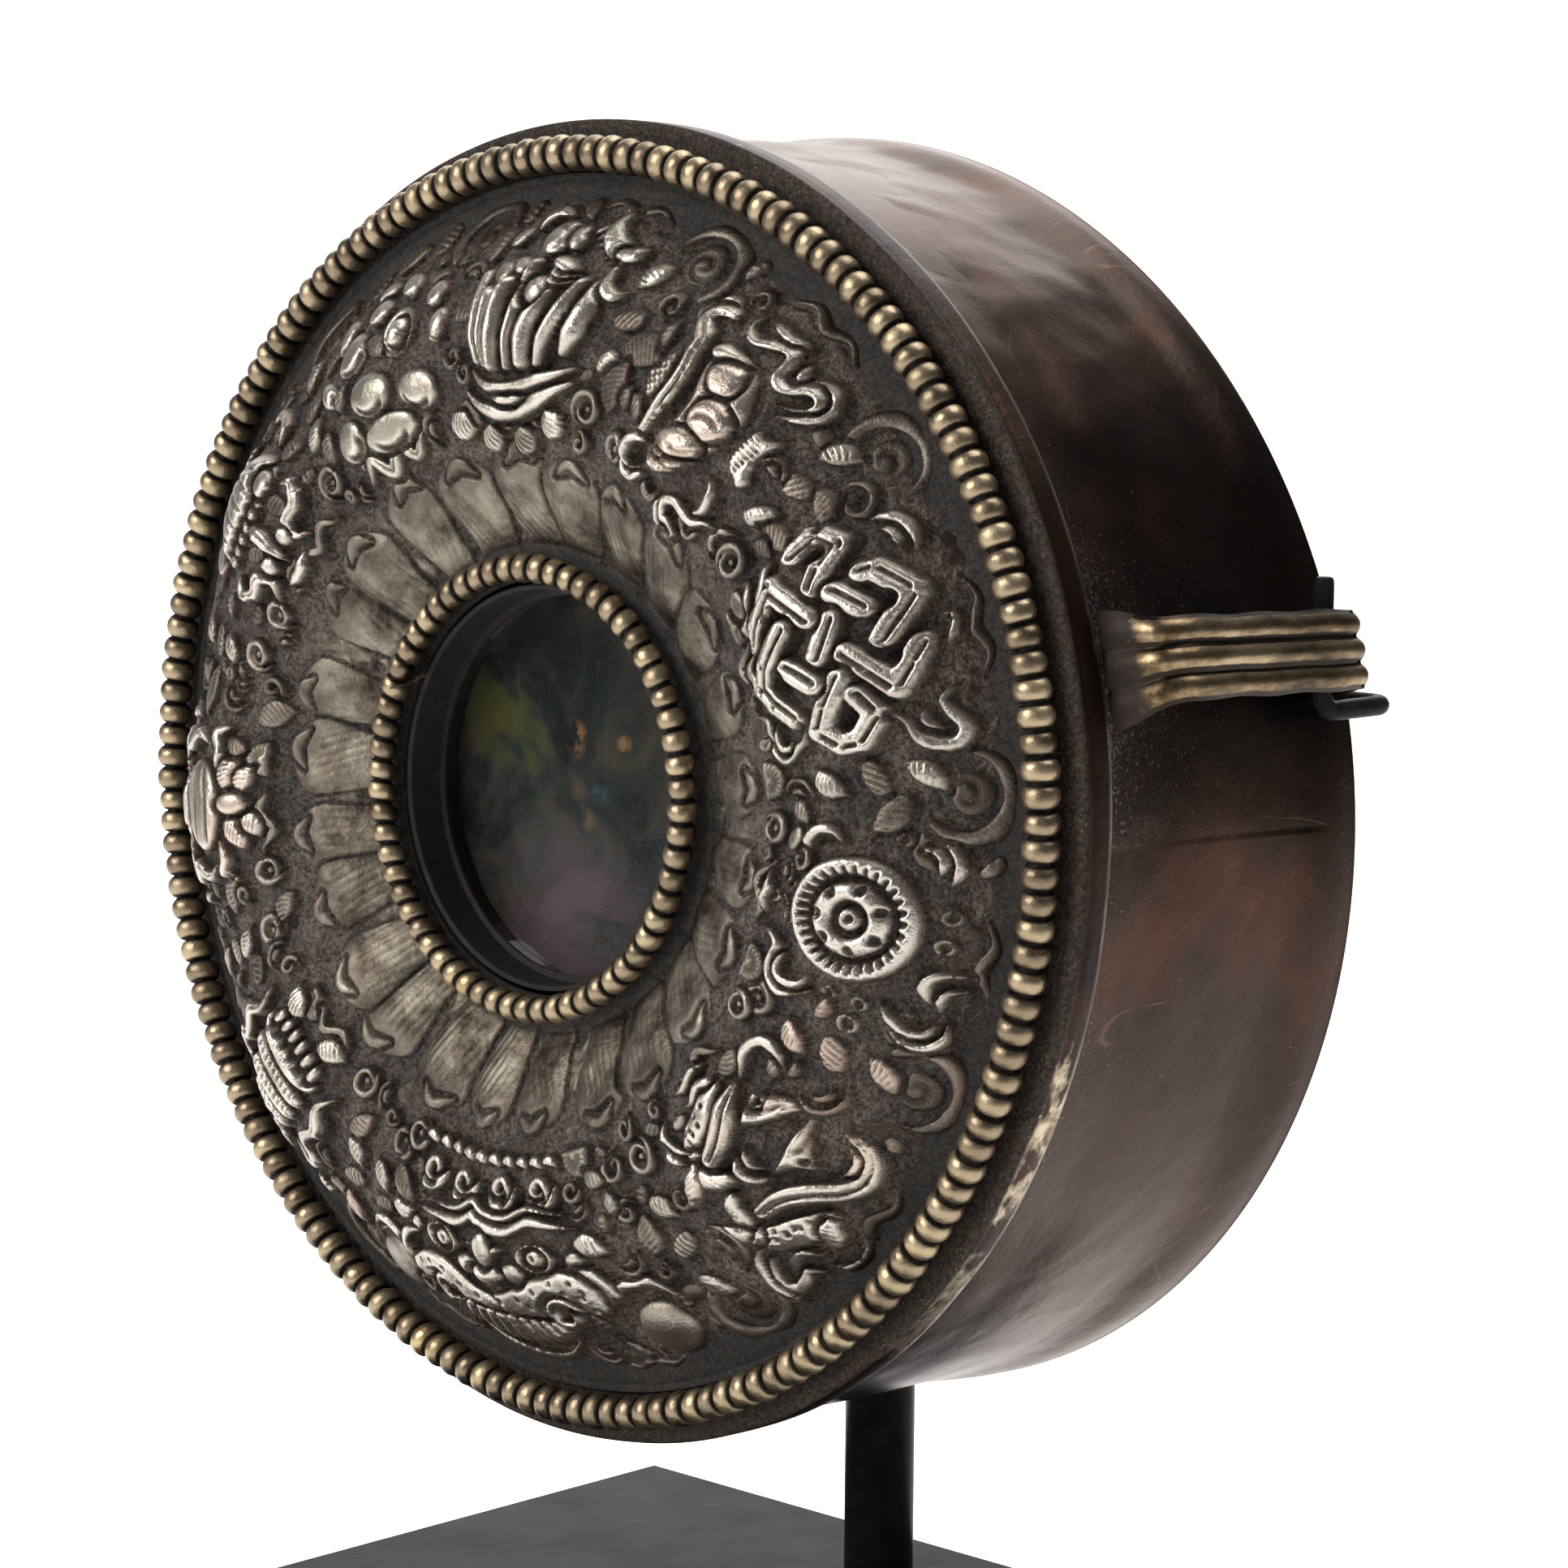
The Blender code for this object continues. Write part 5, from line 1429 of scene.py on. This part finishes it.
def rim_metal():
    """Dusty near-black flange over a red-brown skirt with rubbed brassy places."""
    s = Surface("rim_copper", Metallic=1.0)
    skirt, tail, worn = s.mask("skirt"), s.mask("tail"), s.mask("worn")
    patch = s.noise(38, 5, 0.6)
    flange = s.steps(s.noise(1700, 4, 0.75), (0.4, (0.010, 0.007, 0.005)), (0.62, (0.058, 0.042, 0.031)))
    flange = s.blend(s.specks(2300, 0.5), flange, (0.17, 0.15, 0.13))
    side = s.steps(patch, (0.35, (0.016, 0.010, 0.009)), (0.55, (0.040, 0.019, 0.013)),
                   (0.75, (0.10, 0.055, 0.035)))
    thin = s.sum("ADD", s.noise(90, 5, 0.7, s.stretched((1, 1, 0.5))), s.sum("MULTIPLY", worn, 0.22))
    rubbed = s.sum("MULTIPLY", s.span(thin, 0.62, 0.70), skirt)
    side = s.blend(rubbed, side, s.steps(s.noise(500, 4), (0.4, (0.16, 0.115, 0.07)),
                                         (0.6, (0.46, 0.38, 0.27))))
    edge = s.sum("MULTIPLY", s.span(tail, 0.5, 1.0), s.span(s.noise(80, 3), 0.35, 0.6, 0.2, 0.8))
    side = s.blend(edge, side, (0.33, 0.26, 0.17))
    colour = s.blend(skirt, flange, side)
    colour = s.blend(s.sum("MULTIPLY", s.specks(900, 0.34), skirt), colour, (0.22, 0.36, 0.27))
    s.set("Base Color", colour)
    s.set("Metallic", s.span(skirt, 0.0, 1.0, 0.5, 1.0))
    s.set("Roughness", s.sum("SUBTRACT", s.span(skirt, 0, 1, 0.75, 0.42), s.sum("MULTIPLY", rubbed, 0.08)))
    s.bump(s.noise(240, 4, 0.6), 0.00018)
    s.bump(s.noise(2200, 3, 0.6), 0.00005)
    return s.material


def loop_metal():
    """Rubbed brass strap, dark in its two ragged grooves and grimy where it is soldered on."""
    s = Surface("loop_brass", Metallic=1.0)
    groove, foot = s.mask("groove"), s.mask("foot")
    patch = s.noise(260, 5, 0.7, s.stretched((1, 0.35, 1)))
    ragged = s.noise(900, 4, 0.7, s.stretched((1, 0.5, 1)))
    colour = s.steps(patch, (0.36, (0.045, 0.030, 0.017)), (0.5, (0.145, 0.098, 0.053)),
                     (0.66, (0.34, 0.25, 0.15)))
    dark = s.span(s.sum("ADD", groove, s.sum("MULTIPLY", ragged, 0.8)), 0.68, 0.95)
    grime = s.span(s.sum("ADD", foot, s.sum("MULTIPLY", ragged, 0.7)), 0.75, 1.05)
    colour = s.blend(dark, colour, (0.030, 0.021, 0.015))
    colour = s.blend(grime, colour, (0.040, 0.032, 0.028))
    s.set("Base Color", colour)
    s.set("Roughness", s.sum("ADD", s.span(patch, 0.3, 0.7, 0.44, 0.30), s.sum("MULTIPLY", grime, 0.2)))
    s.bump(s.noise(500, 4, 0.6, s.stretched((1, 0.25, 1))), 0.00008)
    return s.material


def black_paint():
    """Satin black lacquer over steel, with the faint orange peel of spraying."""
    s = Surface("satin_black", Metallic=0.0, Specular_IOR_Level=0.02)
    s.set("Base Color", s.steps(s.noise(300, 3), (0.3, (0.009, 0.009, 0.010)), (0.7, (0.016, 0.016, 0.017))))
    s.set("Roughness", s.span(s.noise(90, 4), 0.3, 0.7, 0.24, 0.34))
    s.bump(s.noise(1500, 2), 0.00002)
    return s.material


def painted_card():
    """A dark painted picture, too dim to read: olive, blue-green and plum with small warm touches."""
    s = Surface("painted_card", Roughness=0.8, Specular_IOR_Level=0.08)
    field = s.noise(85, 5, 0.65, distort=1.0)
    colour = s.steps(field, (0.34, (0.004, 0.005, 0.006)), (0.46, (0.012, 0.014, 0.015)),
                     (0.56, (0.026, 0.024, 0.018)),
                     (0.68, (0.044, 0.032, 0.026)))
    grain = s.noise(900, 3, 0.7)
    colour = s.blend(s.span(grain, 0.5, 0.8, 0.0, 0.5), colour, (0.045, 0.045, 0.042))
    olive = s.sum("MULTIPLY", s.spot(-13, 8, 12), s.span(field, 0.42, 0.58))
    colour = s.blend(olive, colour, (0.045, 0.043, 0.012))
    clouded = s.span(s.noise(60, 4, where=s.stretched((1, 1, 3))), 0.3, 0.6)
    plum = s.sum("MULTIPLY", s.spot(-1, -19, 17), clouded)
    colour = s.blend(plum, colour, (0.070, 0.048, 0.054))
    ragged = s.span(s.noise(330, 4, 0.6), 0.44, 0.56)
    for x, y, reach, strength, tint in ((-2.0, 5.5, 3.0, 0.9, (0.19, 0.085, 0.025)),
                                        (6.5, 5.6, 1.7, 0.9, (0.20, 0.10, 0.045)),
                                        (-1.2, -1.0, 2.0, 0.5, (0.09, 0.055, 0.03)),
                                        (0.3, -4.4, 1.8, 0.7, (0.11, 0.065, 0.03)),
                                        (2.7, -0.6, 2.4, 0.5, (0.03, 0.10, 0.115))):
        touch = s.sum("MULTIPLY", s.spot(x, y, reach), s.sum("MULTIPLY", ragged, strength))
        colour = s.blend(touch, colour, tint)
    s.set("Base Color", colour)
    s.bump(s.noise(1200, 3), 0.00004)
    return s.material


def plain(name, low, high, roughness, metallic=0.0, per_metre=400, depth=0.00006, stretch=(1, 1, 1)):
    """A mottled matt or metal material between two colours."""
    s = Surface(name, Roughness=roughness, Metallic=metallic)
    where = s.stretched(stretch)
    s.set("Base Color", s.steps(s.noise(per_metre, 5, 0.65, where), (0.32, low), (0.68, high)))
    s.bump(s.noise(per_metre * 3, 4, 0.6, where), depth)
    return s.material


def window_glass():
    s = Surface("window_glass", Base_Color=(0.93, 0.95, 0.94, 1.0), Transmission_Weight=1.0, IOR=1.12)
    s.set("Roughness", s.span(s.noise(160, 4), 0.45, 0.75, 0.0, 0.03))
    return s.material


def finish(piece, material):
    piece.data.materials.clear()
    piece.data.materials.append(material)


# ---------------------------------------------------------------- camera, floor and light

CAMERA_AZIMUTH, CAMERA_PITCH, CAMERA_ROLL = math.radians(44.04), math.radians(7.0), math.radians(0.456)
CAMERA_DISTANCE = 0.507
CAMERA_LENS = 99.17
AIM = DRUM + Vector((0.0377, 0.0, 0.00374))


def camera():
    data = bpy.data.cameras.new("camera")
    data.lens, data.sensor_width, data.clip_start = CAMERA_LENS, 36.0, 0.01
    eye = bpy.data.objects.new("camera", data)
    level = math.cos(CAMERA_PITCH)
    back = Vector((level * math.sin(CAMERA_AZIMUTH), -level * math.cos(CAMERA_AZIMUTH),
                   math.sin(CAMERA_PITCH)))
    side = Vector((math.cos(CAMERA_AZIMUTH), math.sin(CAMERA_AZIMUTH), 0))
    top = back.cross(side)
    right = side * math.cos(CAMERA_ROLL) + top * math.sin(CAMERA_ROLL)
    top = back.cross(right)
    turned = Matrix((right, top, back)).transposed().to_4x4()
    eye.matrix_world = Matrix.Translation(AIM + back * CAMERA_DISTANCE) @ turned
    bpy.context.scene.collection.objects.link(eye)
    bpy.context.scene.camera = eye


def floor():
    """A pale floor that curves up far behind the object. Its glow is painted light: an emission that is
    strongest where the camera looks and higher up the curve.
    """
    s = Surface("pale_floor", Roughness=0.9, Emission_Color=(1.0, 1.0, 1.0, 1.0))
    s.set("Base Color", s.steps(s.noise(3, 2), (0.4, (0.86, 0.86, 0.86)), (0.6, (0.89, 0.89, 0.89))))
    # Painted light: the floor's emission strength follows the glow mask built below.
    s.set("Emission Strength", s.mask("floor_glow"))
    away = Vector((-math.sin(CAMERA_AZIMUTH), math.cos(CAMERA_AZIMUTH), 0))
    side = Vector((away.y, -away.x, 0))
    bend, reach = 1.0, 1.6
    line = [(far, 0.0) for far in (-3.0, -1.0, -0.6, -0.2, 0.2, 0.6, 1.1, reach)]
    curve = np.radians(np.arange(10, 91, 10))
    line += [(reach + bend * math.sin(a), bend * (1 - math.cos(a))) for a in curve]
    line += [(reach + bend, 1.8), (reach + bend, 2.6), (reach + bend, 3.6)]
    across = np.arange(-3.6, 3.7, 0.2)
    grid = [[tuple(away * far + side * aside + Vector((0, 0, height))) for aside in across] for far,
            height in line]
    far, height = np.array(line).T[:, :, None]
    narrow = 1 - ease(np.abs(across), 0.35, 1.0)
    wide = 1 - ease(np.abs(across), 0.9, 2.2)
    rise = ease(far + height, 1.2, 2.6)
    # The glow mask is painted light. It is laid in the camera's direction and rises up the backdrop, so the
    # floor shines like a lamp.
    floor_glow = (narrow * (1 - rise) + wide * rise) * ease(far, -0.9, 0.1) * (0.85 + 1.5 * ease(height, 0.45, 1.5))
    piece = skin("floor", np.array(grid), close_columns=False, masks={"floor_glow": floor_glow})
    finish(piece, s.material)


def soft_light(name, position, width, height, power, aim=AIM):
    data = bpy.data.lights.new(name, "AREA")
    data.shape, data.size, data.size_y, data.energy = "RECTANGLE", width, height, power
    lamp = bpy.data.objects.new(name, data)
    lamp.location = position
    lamp.rotation_euler = (aim - Vector(position)).to_track_quat("-Z", "Y").to_euler()
    bpy.context.scene.collection.objects.link(lamp)


def studio():
    """A dim room with two large soft lamps."""
    world = bpy.data.worlds.new("studio")
    world.use_nodes = True
    world.node_tree.nodes["Background"].inputs["Color"].default_value = (0.13, 0.13, 0.135, 1.0)
    bpy.context.scene.world = world
    bpy.context.scene.view_settings.view_transform = "Standard"
    soft_light("key", (-0.45, -1.3, 0.85), 1.0, 0.9, 23)
    soft_light("top", (0.1, 0.5, 1.6), 1.4, 1.0, 20)


# ---------------------------------------------------------------- the object


def dress(node, material):
    """Gives a carried-over CAD node its material."""
    finish(frame["nodes"][node], material)


def add(piece, material, body, slot, *nodes):
    """Finishes a piece, rides it on its body and lets it stand for its CAD nodes."""
    finish(piece, material)
    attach(piece, body)
    if nodes:
        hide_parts(*nodes)


def build_lid():
    brass = beads()
    add(face_plate(), silver(), "lid", "tarnished_silver", "face_plate")
    add(beaded_wire("outer_beads", BEAD_RING, BEAD_RADIUS, 0.0, 164, 2.1, SEED + 1, math.radians(-107),
                    0.05),
        brass, "lid", "bead_metal", "outer_beaded_wire")
    add(beaded_wire("window_beads", WINDOW_RING, WINDOW_BEAD, WINDOW_RING_HEIGHT, 62, 2.1, SEED + 2,
                    math.radians(-112), 0.10),
        brass, "lid", "bead_metal", "inner_beaded_wire")
    add(loose_wire_end(), brass, "lid", "bead_metal")
    add(front_rim(), rim_metal(), "lid", "dark_copper", "front_rim")
    # The window's tube is tarnished copper, darkened further to near black as painted shade of the recess.
    sleeve_shade_and_tarnish = plain("sleeve_painted_shade_and_tarnish", (0.007, 0.005, 0.005), (0.020, 0.014, 0.012), 0.75, 0.2)
    add(window_sleeve(), sleeve_shade_and_tarnish, "lid", "dark_copper", "window_collar")
    dress("window_glass", window_glass())
    dress("image_card", painted_card())
    dress("backing_disc", plain("grey_board", (0.15, 0.125, 0.095), (0.24, 0.205, 0.16), 0.9))
    dress("retaining_ring", plain("retainer_wire", (0.20, 0.16, 0.10), (0.40, 0.33, 0.22), 0.35, 1.0))


def build_case():
    add(case_wall(), copper("wall_copper"), "case", "dark_copper", "case_wall")
    add(case_back(), copper("back_copper", back=True), "case", "dark_copper", "case_back")
    metal = loop_metal()
    add(strap_loop("ribbed_loop_right", 1), metal, "case", "loop_brass", "strap_loop_right")
    add(strap_loop("ribbed_loop_left", -1), metal, "case", "loop_brass", "strap_loop_left")
    dress("prayer_roll", plain("prayer_paper", (0.42, 0.31, 0.18), (0.62, 0.50, 0.33), 0.9,
                               stretch=(1, 0.2, 1)))
    dress("roll_tie", plain("red_thread", (0.20, 0.02, 0.015), (0.36, 0.05, 0.03), 0.9, per_metre=1500))


def build_stand():
    paint = black_paint()
    add(hook_wire(), paint, "stand", "black_paint", "hook_wire")
    add(post(), paint, "stand", "black_paint", "post")
    dress("base_plate", paint)
    dress("felt_pad", plain("black_felt", (0.010, 0.010, 0.011), (0.028, 0.028, 0.030), 0.95, per_metre=1800,
                            depth=0.0002))
    dress("post_screw", plain("screw_steel", (0.32, 0.32, 0.33), (0.52, 0.52, 0.53), 0.32, 1.0))


camera()
studio()
floor()
build_lid()
build_case()
build_stand()
